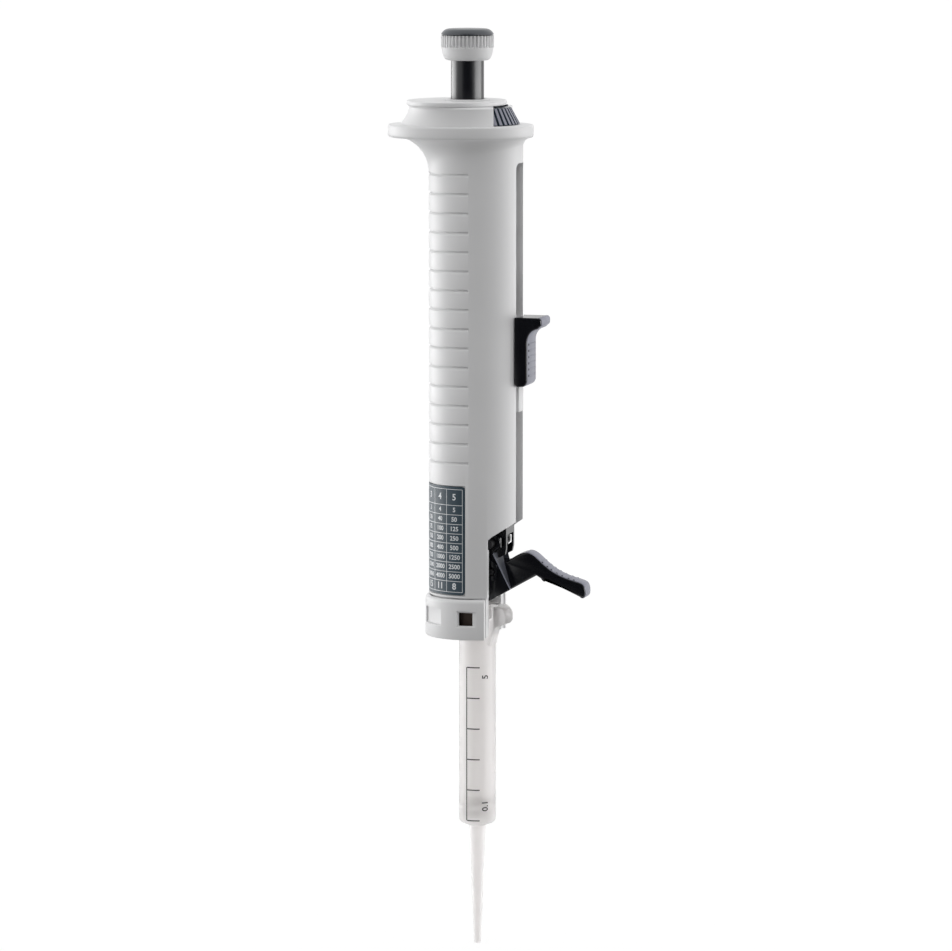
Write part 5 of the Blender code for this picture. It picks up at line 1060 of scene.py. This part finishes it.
def volume_dial():
    count = DIAL_RIBS * len(DIAL_RIB)
    ribs = (
        (DIAL_BASE_RADIUS - 1.5 * DIAL_EDGE, 1.0, DIAL_BOTTOM),
        (DIAL_BASE_RADIUS, 1.0, DIAL_BOTTOM + DIAL_EDGE),
        (DIAL_EDGE_RADIUS, 1.0, DIAL_HIGH.z - DIAL_EDGE),
        (DIAL_TOP_RADIUS - DIAL_EDGE, 0.5, DIAL_HIGH.z),
    )
    rings = [ribbed_ring(radius, depth * DIAL_RIB_DEPTH, DIAL_RIBS, z, DIAL_RIB) for radius, depth, z in ribs]
    bore = BUSH_OUTER + SEAT_GAP
    hub = bore + DIAL_HUB_WALL
    for radius, z in ((bore, DIAL_HIGH.z), (bore, DIAL_LOW.z), (hub, DIAL_LOW.z), (hub, DIAL_BOTTOM)):
        rings.append(button_ring_at(radius, z, count))
    stand_for(loft("dial", "blue_grey_plastic", rings, closed=True), "dial", "volume_dial")
    dial_rib_faces()


def dial_rib_faces():
    """Painted sheen: pale patches on the outer faces of the dial's ribs, where the side light's reflection
    shows.
    """
    low = DIAL_BOTTOM + DIAL_EDGE
    high = DIAL_HIGH.z - DIAL_EDGE

    def place(across, z, lift):
        reach = (DIAL_BASE_RADIUS if z == low else DIAL_EDGE_RADIUS) + lift
        return *polar(reach, tau * across / DIAL_RIBS, BUTTON_AXIS_X), z

    bm = bmesh.new()
    for i in range(DIAL_RIBS):
        ink_patch(bm, place, 2, i + DIAL_SHEEN_SPAN[0], i + DIAL_SHEEN_SPAN[1], low, high, DIAL_SHEEN_LIFT)
    # Pale patches of painted sheen on the dial's ribs
    trim(new_object("dial_rib_faces", "rib_plastic", bm), "dial")


# Button

def button_ring():
    """The white fluted band and the rounded taper under it."""
    rib_bottom = RING_LOW.z + RING_TAPER_HEIGHT
    top = RING_HIGH.z
    count = RING_RIBS * len(FLUTE)
    rings = []
    for inset, rise in smooth_line(TAPER_SHAPE, 3):
        rings.append(button_ring_at(RING_RADIUS - inset * MM, RING_LOW.z + rise * MM, count))
    rings.append(button_ring_at(RING_RADIUS - 0.12 * MM, rib_bottom - 0.35 * MM, count))
    flutes = ((0.05, 0.5, rib_bottom - 0.05 * MM), (0.0, 1.0, rib_bottom + 0.15 * MM))
    flutes += ((0.0, 1.0, top - 0.2 * MM), (0.2, 0.6, top))
    for inset, depth, z in flutes:
        rings.append(ribbed_ring(RING_RADIUS - inset * MM, depth * RING_RIB_DEPTH, RING_RIBS, z, FLUTE))
    rings += [button_ring_at(STEM_RADIUS + SEAT_GAP, z, count) for z in (top, RING_LOW.z)]
    stand_for(loft("button_band", "white_plastic", rings, closed=True), "button", "button_ring")


def button_cap():
    shape = [(CAP_RADIUS * (1 - inset), CAP_BOTTOM + CAP_HEIGHT * level) for inset, level in CAP_SHAPE]
    profile = [(0, CAP_BOTTOM), (CAP_RADIUS - 0.1 * MM, CAP_BOTTOM)] + smooth_line(shape, 3)
    profile.append((0, CAP_BOTTOM + CAP_HEIGHT))
    stand_for(turned("button_top", "cap_plastic", profile, BUTTON_AXIS_X), "button", "button_cap")


def button_stem():
    """The smooth stem, with a groove for its retaining ring and a blind hole for the foot's screw."""
    low = STEM_LOW.z
    neck = STEM_RADIUS - STEM_GROOVE_DEPTH
    groove_top = STEM_GROOVE + STEM_GROOVE_WIDTH
    profile = [
        (STEM_BORE, low), (STEM_RADIUS - STEM_EDGE, low), (STEM_RADIUS, low + STEM_EDGE),
        (STEM_RADIUS, STEM_GROOVE), (neck, STEM_GROOVE), (neck, groove_top), (STEM_RADIUS, groove_top),
        (STEM_RADIUS, STEM_HIGH.z), (0, STEM_HIGH.z), (0, low + STEM_BORE_DEPTH),
        (STEM_BORE, low + STEM_BORE_DEPTH),
    ]
    stand_for(turned("stem", "stem_plastic", profile, BUTTON_AXIS_X), "button", "button_stem")


def guide_bush():
    low, high = BUSH_LOW.z, BUSH_HIGH.z
    profile = [
        (BUSH_INNER, low), (BUSH_OUTER, low), (BUSH_OUTER, high - BUSH_EDGE), (BUSH_OUTER - BUSH_EDGE, high),
        (BUSH_INNER + BUSH_EDGE, high), (BUSH_INNER, high - BUSH_EDGE),
    ]
    stand_for(turned("bush", "white_plastic", profile, BUTTON_AXIS_X), "housing", "guide_bush")


def button_spring():
    """A coil between the guide plate and the button's foot."""
    low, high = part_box("button_spring")
    middle = (low + high) / 2
    coil_radius = (high.x - low.x) / 2 - SPRING_WIRE
    first = low.z + SPRING_WIRE
    last = high.z - SPRING_WIRE
    steps = SPRING_TURN_STEPS * SPRING_TURNS
    rings = []
    for i in range(steps + 1):
        turn = tau * i / SPRING_TURN_STEPS
        height = between(first, last, i / steps)
        section = [polar(SPRING_WIRE, tilt, coil_radius, height) for tilt in even_angles(SPRING_SIDES)]
        rings.append([(*polar(reach, turn, middle.x, middle.y), z) for reach, z in section])
    spring = loft("button_spring_coil", "steel", rings)
    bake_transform(spring)
    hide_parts("button_spring")


# Ribbed pads for the thumb, pale as painted sheen where the side light catches the navy plastic

def pad_along(name, line, half_width):
    """A thin sheet of painted sheen on a plate's edge; the line runs along the edge, with the plate on its
    left.
    """
    outer = []
    inner = []
    for i, (x, z) in enumerate(line):
        along = (Vector(line[min(i + 1, len(line) - 1)]) - Vector(line[max(i - 1, 0)])).normalized()
        outer.append((x + along.y * PAD_LIFT, z - along.x * PAD_LIFT))
        inner.append((x - along.y * PAD_DEPTH, z + along.x * PAD_DEPTH))
    # A thin sheet in the colour of painted sheen over the navy plastic
    sheen_pad = side_plate(name, "rib_plastic", outer + inner[::-1], -half_width, half_width)
    return soften(sheen_pad, PAD_EDGE, 2)


def add_bar(bm, x, z, half_length):
    """A small rounded bar that lies across the thumb's path."""
    rings = []
    for share, swell in BAR_SHAPE:
        section = [polar(PAD_BAR_RADIUS * swell, angle, x, z) for angle in even_angles(BAR_SIDES)]
        rings.append([(point_x, share * half_length, point_z) for point_x, point_z in section])
    skin(bm, rings)


def add_pad(name, line, half_width, places, bar_half_length, body):
    """A pad of painted sheen with low bars across it, the bars pale as painted sheen and each in the plain
    dark navy at both ends; a place is (x, z, outward x, outward z).
    """
    trim(pad_along(name + "_pad", line, half_width), body)
    bars = bmesh.new()
    ends = bmesh.new()
    for x, z, out_x, out_z in places:
        x -= out_x * PAD_SINK
        z -= out_z * PAD_SINK
        add_bar(bars, x, z, bar_half_length)
        for side in SIDES.values():
            start = (x, side * (bar_half_length - 0.15 * MM), z)
            end = (x, side * (bar_half_length + 0.05 * MM), z)
            add_rod(ends, start, end, 0.93 * PAD_BAR_RADIUS, BAR_SIDES)
    # The bars are real; their pale colour is painted sheen
    trim(new_object(name + "_bars", "rib_plastic", bars), body)
    trim(new_object(name + "_bar_ends", "navy_plastic", ends), body)


# Fill slider

def slider_outline():
    """Side view: a hooked top, a hollow for the thumb and a rounded bottom."""
    heel = (SLIDER_BACK_X + 2.6 * MM, SLIDER_BOTTOM + HEEL_CORNER)
    toe = (THUMB_FACE_X - TOE_CORNER, SLIDER_BOTTOM + TOE_CORNER)
    outline = [(SLIDER_BACK_X, SLIDER_TOP), (SLIDER_BACK_X, SLIDER_BOTTOM + 1.0 * MM)]
    outline += arc(heel, HEEL_CORNER, 215, 270, 6) + arc(toe, TOE_CORNER, 275, 360, 14)
    outline += arc(HOLLOW_CENTRE, HOLLOW_CENTRE[0] - THUMB_FACE_X, 100, 180, 16)[::-1]
    outline += arc((HOOK_X - HOOK_LIP, HOOK_BOTTOM + 0.9 * MM), HOOK_LIP, 290, 360, 6)
    return outline + arc((HOOK_X - HOOK_CORNER, SLIDER_TOP - HOOK_CORNER), HOOK_CORNER, 0, 90, CORNER_POINTS)


def fill_slider():
    def drop(x, y):
        share = min(max((x - BODY_FRONT_X) / (THUMB_FACE_X - BODY_FRONT_X), 0.0), 1.0)
        return share * y ** 2 / (2 * THUMB_CROWN_RADIUS)

    outline = slider_outline()
    half = SLIDER_HIGH.y
    slider = crowned("slider", "navy_plastic", outline, half, SLIDER_EDGE, drop)
    wall = [body_point(0.4 * MM, angle) for angle in even_angles()]
    carve(slider, flat_plate, wall, SLIDER_LOW.z - PAST, SLIDER_HIGH.z + PAST)
    stand_for(slider, "piston_drive", "fill_slider")
    # The thumb face's pale pad is painted sheen, where the side light catches the navy plastic
    face = [point for point in outline if point[0] > THUMB_FACE_X - 1.6 * MM]
    places = [(THUMB_FACE_X, THUMB_BAR_FIRST + i * THUMB_BAR_PITCH, 1.0, 0.0) for i in range(THUMB_BARS)]
    add_pad("thumb", face, half - 0.35 * MM, places, THUMB_BAR_HALF_LENGTH, "piston_drive")


def slider_carriage():
    """The white block in the slot, with a round top that shows above the slider."""
    low, high = CARRIAGE_LOW, CARRIAGE_HIGH
    outline = arc((0.0, high.z - high.y), high.y, 0, 180, 25) + [(-high.y, low.z), (high.y, low.z)]
    points = [(low.x, y, z) for y, z in outline]
    carriage = extruded("carriage", "white_plastic", points, (high.x - low.x, 0, 0))
    soften(carriage, 0.3 * MM, 3)
    for name in ("lower_slider_screw", "upper_slider_screw"):
        z = sum(corner.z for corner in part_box(name)) / 2
        start = (low.x - MM, 0, z)
        carve(carriage, rod, start, (high.x + MM, 0, z), SLIDER_SCREW_HOLE)
        carve(carriage, rod, start, (low.x + SLIDER_SCREW_HEAD_DEPTH, 0, z), SLIDER_SCREW_HEAD)
    stand_for(carriage, "piston_drive", "slider_carriage")


# Dispensing lever

def from_pivot(outline):
    """Moves an outline that is given in millimetres from the lever's pivot to its place."""
    return [(LEVER_PIVOT_X + x * MM, LEVER_PIVOT_Z + z * MM) for x, z in outline]


def lower_edge(x):
    """A point of the straight lower edge that the arm and the cheeks share."""
    return x, LOWER_EDGE_START[1] + (x - LOWER_EDGE_START[0]) * LOWER_EDGE_SLOPE


def arm_top():
    """The arm's upper edge in side view: a crest near the pivot, a dip and a rounded end."""
    return from_pivot(smooth_line(ARM_TOP, 5))


def arm_outline():
    """Side view of the whole thumb arm."""
    belly = smooth_line(ARM_BELLY, 4)[1:]
    return arm_top() + from_pivot(belly + [lower_edge(x) for x in ARM_FOOT] + [ARM_ROOT])


def cheek_outline():
    boss = arc((0.0, 0.0), CHEEK_BOSS, -20, 190, 32)
    return from_pivot(boss + [CHEEK_HEEL] + [lower_edge(x) for x in CHEEK_FOOT] + [CHEEK_TOP])


def arm_bar_places(face):
    """Places along the arm's top, spaced evenly from behind its crest towards its end."""
    places = []
    for x in ARM_BAR_PLACES:
        i = min(range(1, len(face) - 1), key=lambda k: abs(face[k][0] - LEVER_PIVOT_X - x * MM))
        along = (Vector(face[i + 1]) - Vector(face[i - 1])).normalized()
        places.append((*face[i], -along.y, along.x))
    return places


def cheek_edge(name, side):
    """A painted highlight: a pale rod along the rounded edge down the front of a cheek."""
    ends = from_pivot((CHEEK_TOP, lower_edge(CHEEK_FOOT[1])))
    top, toe = (Vector((x, side * CHEEK_OUTER, z)) for x, z in ends)
    along = (toe - top).normalized()
    forward = Vector((-along.z, 0, along.x))
    sink = Vector((0, side, 0)) * 0.24 * MM + forward * 0.05 * MM
    start = top - sink + along * 0.3 * MM
    end = toe - sink - along * 0.1 * MM
    # Painted highlight: a pale rod along the cheek's front edge
    return rod(name + "_cheek_edge", "rib_plastic", start, end, CHEEK_HIGHLIGHT_RADIUS, BAR_SIDES)


def cheek_ramp(name, side):
    """The face that turns from a cheek's front edge in to the narrower arm, as a wedge down the cheek, in a
    paler slate that is painted sheen.
    """
    inner = ARM_HALF_WIDTH - 0.4 * MM
    outer = CHEEK_OUTER - 0.35 * MM
    toe = lower_edge(CHEEK_FOOT[1])
    rings = []
    for share in RAMP_SHARES:
        x = between(CHEEK_TOP[0], toe[0], share)
        z = LEVER_PIVOT_Z + between(CHEEK_TOP[1], toe[1], share) * MM
        front = x + between(RAMP_TOP_REACH, RAMP_FOOT_REACH, share)
        section = [(x - RAMP_BACK, inner), (x - RAMP_BACK, outer), (x - 0.05, outer)]
        section += [(front, ARM_HALF_WIDTH), (front, inner)]
        rings.append([(LEVER_PIVOT_X + across * MM, side * y, z) for across, y in section])
    # The ramp's paler slate is painted sheen on the navy plastic
    return loft(name + "_cheek_ramp", "slate_plastic", rings)


def dispensing_lever():
    lever = crowned("lever", "navy_plastic", arm_outline(), ARM_HALF_WIDTH, ARM_EDGE)
    for name, side in SIDES.items():
        cheek = side_plate("cheek", "navy_plastic", cheek_outline(), side * CHEEK_INNER, side * CHEEK_OUTER)
        soften(cheek, CHEEK_EDGE, 2)
        combine(lever, cheek, "UNION")
        trim(cheek_ramp(name, side), "lever")
        trim(cheek_edge(name, side), "lever")
    reach = CHEEK_OUTER + MM
    for x, z, radius in ((LEVER_PIVOT_X, LEVER_PIVOT_Z, PIVOT_PIN_RADIUS), CAM_PIN):
        carve(lever, rod, (x, -reach, z), (x, reach, z), radius + SEAT_GAP)
    stand_for(lever, "lever", "dispensing_lever")
    # The arm's pale top is painted sheen, where the side light catches the navy plastic
    face = [point for point in arm_top() if point[0] > LEVER_PIVOT_X + ARM_SHEEN_START]
    half = ARM_HALF_WIDTH - 0.3 * MM
    places = arm_bar_places(face)
    add_pad("arm", face[::-1], half, places, ARM_HALF_WIDTH - 0.75 * MM, "lever")


# Lock lever around the tip's socket, and the rim under the body that shows above it

def cut_off_front(obj, x, z_low, z_high):
    """Removes what lies in front of X."""
    far = 40 * MM
    carve(obj, flat_plate, [(x, -far), (far, -far), (far, far), (x, far)], z_low, z_high)


def wall_rings(levels, out, centre_x):
    """Rings square to a wall; each level is (reach, left, right, low, high) along the wall's own axes."""
    out = Vector((*out, 0))
    across = Vector((-out.y, out.x, 0))
    rings = []
    for reach, left, right, low, high in levels:
        middle = Vector((centre_x, 0, 0)) + out * reach
        corners = ((left, low), (right, low), (right, high), (left, high))
        rings.append([middle + across * offset + UP * z for offset, z in corners])
    return rings


def side_window(side):
    """A window over a catch: its frame slopes in from the face, widest towards the front."""
    face = BODY_HALF_WIDTH + LOCK_OUTSET
    rim = (*sorted(-side * x for x in CATCH_FRAME_X), CATCH_BOTTOM, CATCH_TOP)
    hole = (*sorted(-side * x for x in CATCH_HOLE_X), CATCH_BOTTOM + 0.45 * MM, CATCH_TOP - 0.75 * MM)
    levels = [(face - CATCH_DEPTH, *hole), (face - CATCH_SLOPE_DEPTH, *hole)]
    levels += [(face, *rim), (face + 2 * MM, *rim)]
    return wall_rings(levels, (0.0, side), 0.0)


def rear_window(side):
    """A shallow recess with sloping ends round the back corner."""
    face = BODY_BACK + LOCK_OUTSET
    half = REAR_HALF_WIDTH
    floor = sqrt(face ** 2 - half ** 2) - REAR_DEPTH
    levels = [
        (floor, REAR_SLOPE - half, half - REAR_SLOPE, CATCH_BOTTOM + 0.3 * MM, CATCH_TOP + 0.1 * MM),
        (face + MM, -half, half, CATCH_BOTTOM, CATCH_TOP + 0.4 * MM),
    ]
    return wall_rings(levels, (cos(REAR_ANGLE), -side * sin(REAR_ANGLE)), BODY_CENTRE_X)


def lock_lever():
    angles = even_angles()
    rings = []
    for inset, rise in quarter(LOCK_FOOT, 3):
        rings.append(body_ring(LOCK_OUTSET - inset, LOCK_LOW.z + rise, angles))
    for drop, inset in quarter(LOCK_SHOULDER, 4):
        rings.append(body_ring(LOCK_OUTSET - LOCK_SHOULDER_SHARE * inset, LOCK_HIGH.z - drop, angles))
    rings += [body_ring(LOCK_OUTSET - LOCK_WALL, z, angles) for z in (LOCK_HIGH.z, LOCK_LOW.z)]
    lever = loft("lock_ring", "white_plastic", rings, closed=True)
    cut_off_front(lever, LOCK_HIGH.x, LOCK_LOW.z - MM, LOCK_HIGH.z + MM)
    pin_end = half_width_at(LOCK_PIVOT_X, LOCK_OUTSET) - 0.5 * MM
    for side in SIDES.values():
        carve(lever, loft, side_window(side))
        carve(lever, loft, rear_window(side))
        start = (LOCK_PIVOT_X, side * LOCK_PIN_INNER, LOCK_PIVOT_Z)
        carve(lever, rod, start, (LOCK_PIVOT_X, side * pin_end, LOCK_PIVOT_Z), LOCK_PIN_RADIUS + SEAT_GAP)
    stand_for(lever, "lock_lever", "tip_lock_lever")


def body_skirt():
    """A low rim under the body behind the gap above the lock lever, clear of the tilted lever."""
    low = LOCK_HIGH.z - SKIRT_DROP
    high = BODY_BOTTOM + 0.05 * MM
    corners = ((SKIRT_OUTER, low), (SKIRT_OUTER, high), (SKIRT_INNER, high), (SKIRT_INNER, low))
    rings = [body_ring(offset, z, even_angles()) for offset, z in corners]
    skirt = loft("body_skirt", "white_plastic", rings, closed=True)
    cut_off_front(skirt, LOCK_HIGH.x - MM, low - MM, high + MM)
    trim(skirt, "housing")


# Dispensing tip

def wing_outline():
    """Both wings in side view; the rear one's gusset is shorter."""
    slope = [
        (5.6 * MM, WING_TOE - 4 * MM), (BARREL_RADIUS + 0.1 * MM, WING_TOE - 1 * MM),
        (BARREL_RADIUS + 1.2 * MM, WING_TOE + 1.6 * MM), (WING_REACH - 3.3 * MM, WING_BOTTOM - 1.9 * MM),
        (WING_REACH - 0.6 * MM, WING_BOTTOM - 0.9 * MM),
    ]
    right = smooth_line(slope, 5) + [(WING_REACH, WING_BOTTOM)]
    right += arc((WING_REACH - WING_CORNER, WING_TOP - WING_CORNER), WING_CORNER, 0, 90, 16)
    left = []
    for x, z in reversed(right):
        left.append((-x, z if z > WING_BOTTOM else between(WING_BOTTOM, z, REAR_GUSSET_SHARE)))
    return right + left


def tip_barrel():
    """The tip's nozzle, barrel and winged head in one moulding."""
    bore = BARREL_BORE_RADIUS
    shoulder = (BARREL_RADIUS - BARREL_SHOULDER, NOZZLE_LENGTH + 0.8 * MM + BARREL_SHOULDER)
    profile = [(NOZZLE_BORE_RADIUS, 0), (NOZZLE_END_RADIUS - HEAD_EDGE, 0), (NOZZLE_END_RADIUS, 0.3 * MM)]
    profile += [(NOZZLE_ROOT_RADIUS, NOZZLE_LENGTH)] + arc(shoulder, BARREL_SHOULDER, 290, 360, 12)
    profile += [
        (BARREL_RADIUS, HEAD_BOTTOM - 0.8 * MM), (HEAD_RADIUS, HEAD_BOTTOM),
        (HEAD_RADIUS, TIP_LENGTH - HEAD_EDGE), (HEAD_RADIUS - HEAD_EDGE, TIP_LENGTH),
        (bore, TIP_LENGTH), (bore, BARREL_FLOOR),
        (NOZZLE_ROOT_RADIUS - NOZZLE_BORE_CONE, BARREL_FLOOR - NOZZLE_BORE_CONE),
    ]
    barrel = turned("tip_body", "tip_plastic", profile, 0.0, TIP_STEPS)

    def drop(x, y):
        share = max((abs(x) - BARREL_RADIUS) / (WING_REACH - BARREL_RADIUS), 0.0)
        return copysign(share * y ** 2 / (2 * WING_END_RADIUS), x)

    wings = crowned("wings", "tip_plastic", wing_outline(), WING_HALF_WIDTH, WING_EDGE, drop)
    start, end = (0, 0, HEAD_BOTTOM - 20 * MM), (0, 0, TIP_LENGTH + MM)
    carve(wings, rod, start, end, (BARREL_RADIUS + bore) / 2, TIP_STEPS)
    combine(barrel, wings, "UNION")
    stand_for(barrel, "housing", "tip_barrel")


def barrel_point(across, z, lift):
    """A point on the barrel: across runs towards the front from the scale's long line."""
    return *polar(BARREL_RADIUS + lift, SCALE_LINE_ANGLE + across / BARREL_RADIUS), z


def tip_scale():
    """The printed scale: a long line, ticks and two plain numbers that read along the barrel."""
    bm = bmesh.new()
    half = SCALE_LINE / 2
    ink_patch(bm, barrel_point, 2, -half, half, SCALE_BOTTOM, SCALE_TOP)
    steps = steps_over(SCALE_TICK_REACH - half, LABEL_STEP / 2)
    for i in range(SCALE_TICKS):
        z = between(SCALE_BOTTOM, SCALE_TOP, i / (SCALE_TICKS - 1))
        ink_patch(bm, barrel_point, steps, half, SCALE_TICK_REACH, z - half, z + half)
    across = SCALE_TICK_REACH + 2.0 * MM
    for words, z in SCALE_FIGURES:
        add_text(bm, words, BIG_FIGURE, lambda x, y, lift: barrel_point(across - y, z + x, lift))
    trim(new_object("tip_figures", "scale_ink", bm), "housing")


# CAD nodes that keep their shape

def finish_kept_nodes():
    for finish, names in KEPT_FINISHES.items():
        for name in names:
            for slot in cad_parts[name].material_slots:
                slot.material = surface(finish)


# Floor, light and camera

def sees_background(tree):
    """1 for rays that show the white background: the camera's, and those in reflections and clear parts."""
    path = add_node(tree, "LightPath", {}).outputs
    either = path["Is Camera Ray"]
    for name in ("Is Glossy Ray", "Is Transmission Ray"):
        either = add_node(tree, "Math", {0: either, 1: path[name]}, operation="MAXIMUM").outputs["Value"]
    return either


def pale_floor():
    """A wide floor that shows as white with the object's shadow, and that lets the tent's light through."""
    tree = new_tree("floor_paper")
    tree.nodes.remove(tree.nodes["Principled BSDF"])
    clear = add_node(tree, "BsdfTransparent", {}).outputs["BSDF"]
    glow = add_node(tree, "Emission", {"Strength": FLOOR_GLOW}).outputs["Emission"]
    paper = add_node(tree, "BsdfDiffuse", {"Color": FLOOR_COLOUR}).outputs["BSDF"]
    both = add_node(tree, "AddShader", {0: glow, 1: paper}).outputs["Shader"]
    pick = add_node(tree, "MixShader", {"Fac": sees_background(tree), 1: clear, 2: both})
    feed(tree, tree.nodes["Material Output"].inputs["Surface"], pick.outputs["Shader"])
    bm = bmesh.new()
    ring = at_height([polar(FLOOR_REACH, angle) for angle in even_angles(FLOOR_SIDES)], FLOOR_HEIGHT)
    bm.faces.new([bm.verts.new(point) for point in ring])
    new_object("floor", "floor_paper", bm)


def round_the_object(turn, reach, height):
    """A point at an angle in degrees from the camera's side, seen from above."""
    angle = radians(turn) + CAMERA_AZIMUTH
    return Vector((reach * sin(angle), -reach * cos(angle), height))


def aim(obj, height):
    """Turns a lamp or camera to the object's axis at a height."""
    way = Vector((0, 0, height)) - obj.location
    obj.rotation_euler = way.to_track_quat("-Z", "Y").to_euler()
    bpy.context.scene.collection.objects.link(obj)


def hide_from(obj, kinds):
    for kind in kinds:
        setattr(obj, "visible_" + kind, False)


def camera_side_flag():
    """A black sweep on the camera's side that only reflections see, as photographers use for dark plastic."""
    shader = new_tree("flag_cloth").nodes["Principled BSDF"]
    shader.inputs["Base Color"].default_value = FLAG_COLOUR
    shader.inputs["Roughness"].default_value = 1.0
    bm = bmesh.new()
    columns = []
    for turn in range(-FLAG_TURN, FLAG_TURN + 1, FLAG_STEP):
        columns.append([bm.verts.new(round_the_object(turn, reach, height)) for reach, height in FLAG_SWEEP])
    for a, b in zip(columns, columns[1:]):
        for k in range(len(FLAG_SWEEP) - 1):
            bm.faces.new((a[k], b[k], b[k + 1], a[k + 1]))
    flag = new_object("flag", "flag_cloth", bm)
    hide_from(flag, ("camera", "diffuse", "transmission", "volume_scatter", "shadow"))


def side_panels():
    """Two soft boxes for the long highlights; the tent gives the even light, so only reflections see them."""
    for name, turn, width in SIDE_PANELS:
        data = bpy.data.lights.new(name, "AREA")
        data.shape = "RECTANGLE"
        data.size = width
        data.size_y = PANEL_HEIGHT
        data.energy = 4 * PANEL_RADIANCE * width * PANEL_HEIGHT
        lamp = bpy.data.objects.new(name, data)
        lamp.location = round_the_object(turn, PANEL_REACH, PANEL_MIDDLE)
        aim(lamp, PANEL_MIDDLE)
        hide_from(lamp, ("camera", "diffuse", "transmission", "volume_scatter"))


def level_ramp(tree, factor, levels, peak):
    """A ramp of greys; each level is (position, strength), with the peak as white."""
    return add_ramp(tree, factor, [(position, (level / peak,) * 3) for position, level in levels])


def share_along(tree, coords, direction):
    """0 to 1 from one side of the sky to the other along a direction."""
    facing = add_node(tree, "VectorMath", {0: coords, 1: direction}, operation="DOT_PRODUCT").outputs["Value"]
    return add_range(tree, facing, -1.0, 1.0, 0.0, 1.0)


def mix_colours(tree, blend_type, first, second):
    inputs = {"Factor": 1.0, "A": first, "B": second}
    return add_node(tree, "Mix", inputs, data_type="RGBA", blend_type=blend_type).outputs["Result"]


def light_tent():
    """A light tent: bright panels at the object's two sides, a pale dome, and dark towards the camera."""
    world = bpy.data.worlds.new("light_tent")
    bpy.context.scene.world = world
    world.use_nodes = True
    tree = world.node_tree
    coords = add_node(tree, "TexCoord", {}).outputs["Generated"]
    height = share_along(tree, coords, UP)
    sides = level_ramp(tree, share_along(tree, coords, round_the_object(0, 1, 0)), TENT_SIDES, TENT_PEAK)
    lit_sides = mix_colours(tree, "MULTIPLY", sides, level_ramp(tree, height, TENT_BAND, 1.0))
    whole = mix_colours(tree, "ADD", lit_sides, level_ramp(tree, height, TENT_DOME, TENT_PEAK))
    lit = add_node(tree, "Background", {"Color": whole, "Strength": TENT_PEAK}).outputs["Background"]
    white = tree.nodes["Background"]
    white.inputs["Color"].default_value = (1.0, 1.0, 1.0, 1.0)
    white.inputs["Strength"].default_value = 1.0
    pick = add_node(tree, "MixShader", {"Fac": sees_background(tree), 1: lit, 2: white.outputs["Background"]})
    feed(tree, tree.nodes["World Output"].inputs["Surface"], pick.outputs["Shader"])


def add_camera():
    data = bpy.data.cameras.new("camera")
    data.lens = CAMERA_LENS
    data.sensor_width = CAMERA_SENSOR
    data.clip_end = CAMERA_SIGHT
    data.shift_x = SHIFT_PIXELS[0] / IMAGE_WIDTH
    data.shift_y = SHIFT_PIXELS[1] / IMAGE_WIDTH
    camera = bpy.data.objects.new("camera", data)
    camera.location = round_the_object(0, CAMERA_REACH, CAMERA_HEIGHT)
    aim(camera, CAMERA_AIM_HEIGHT)
    bpy.context.scene.camera = camera


body_shell()
label_film()
label_ink()
top_collar()
button_spring()
volume_dial()
button_ring()
button_cap()
button_stem()
guide_bush()
fill_slider()
slider_carriage()
dispensing_lever()
lock_lever()
body_skirt()
tip_barrel()
tip_scale()
finish_kept_nodes()
pale_floor()
light_tent()
camera_side_flag()
side_panels()
add_camera()
bpy.context.scene.view_settings.view_transform = "Standard"
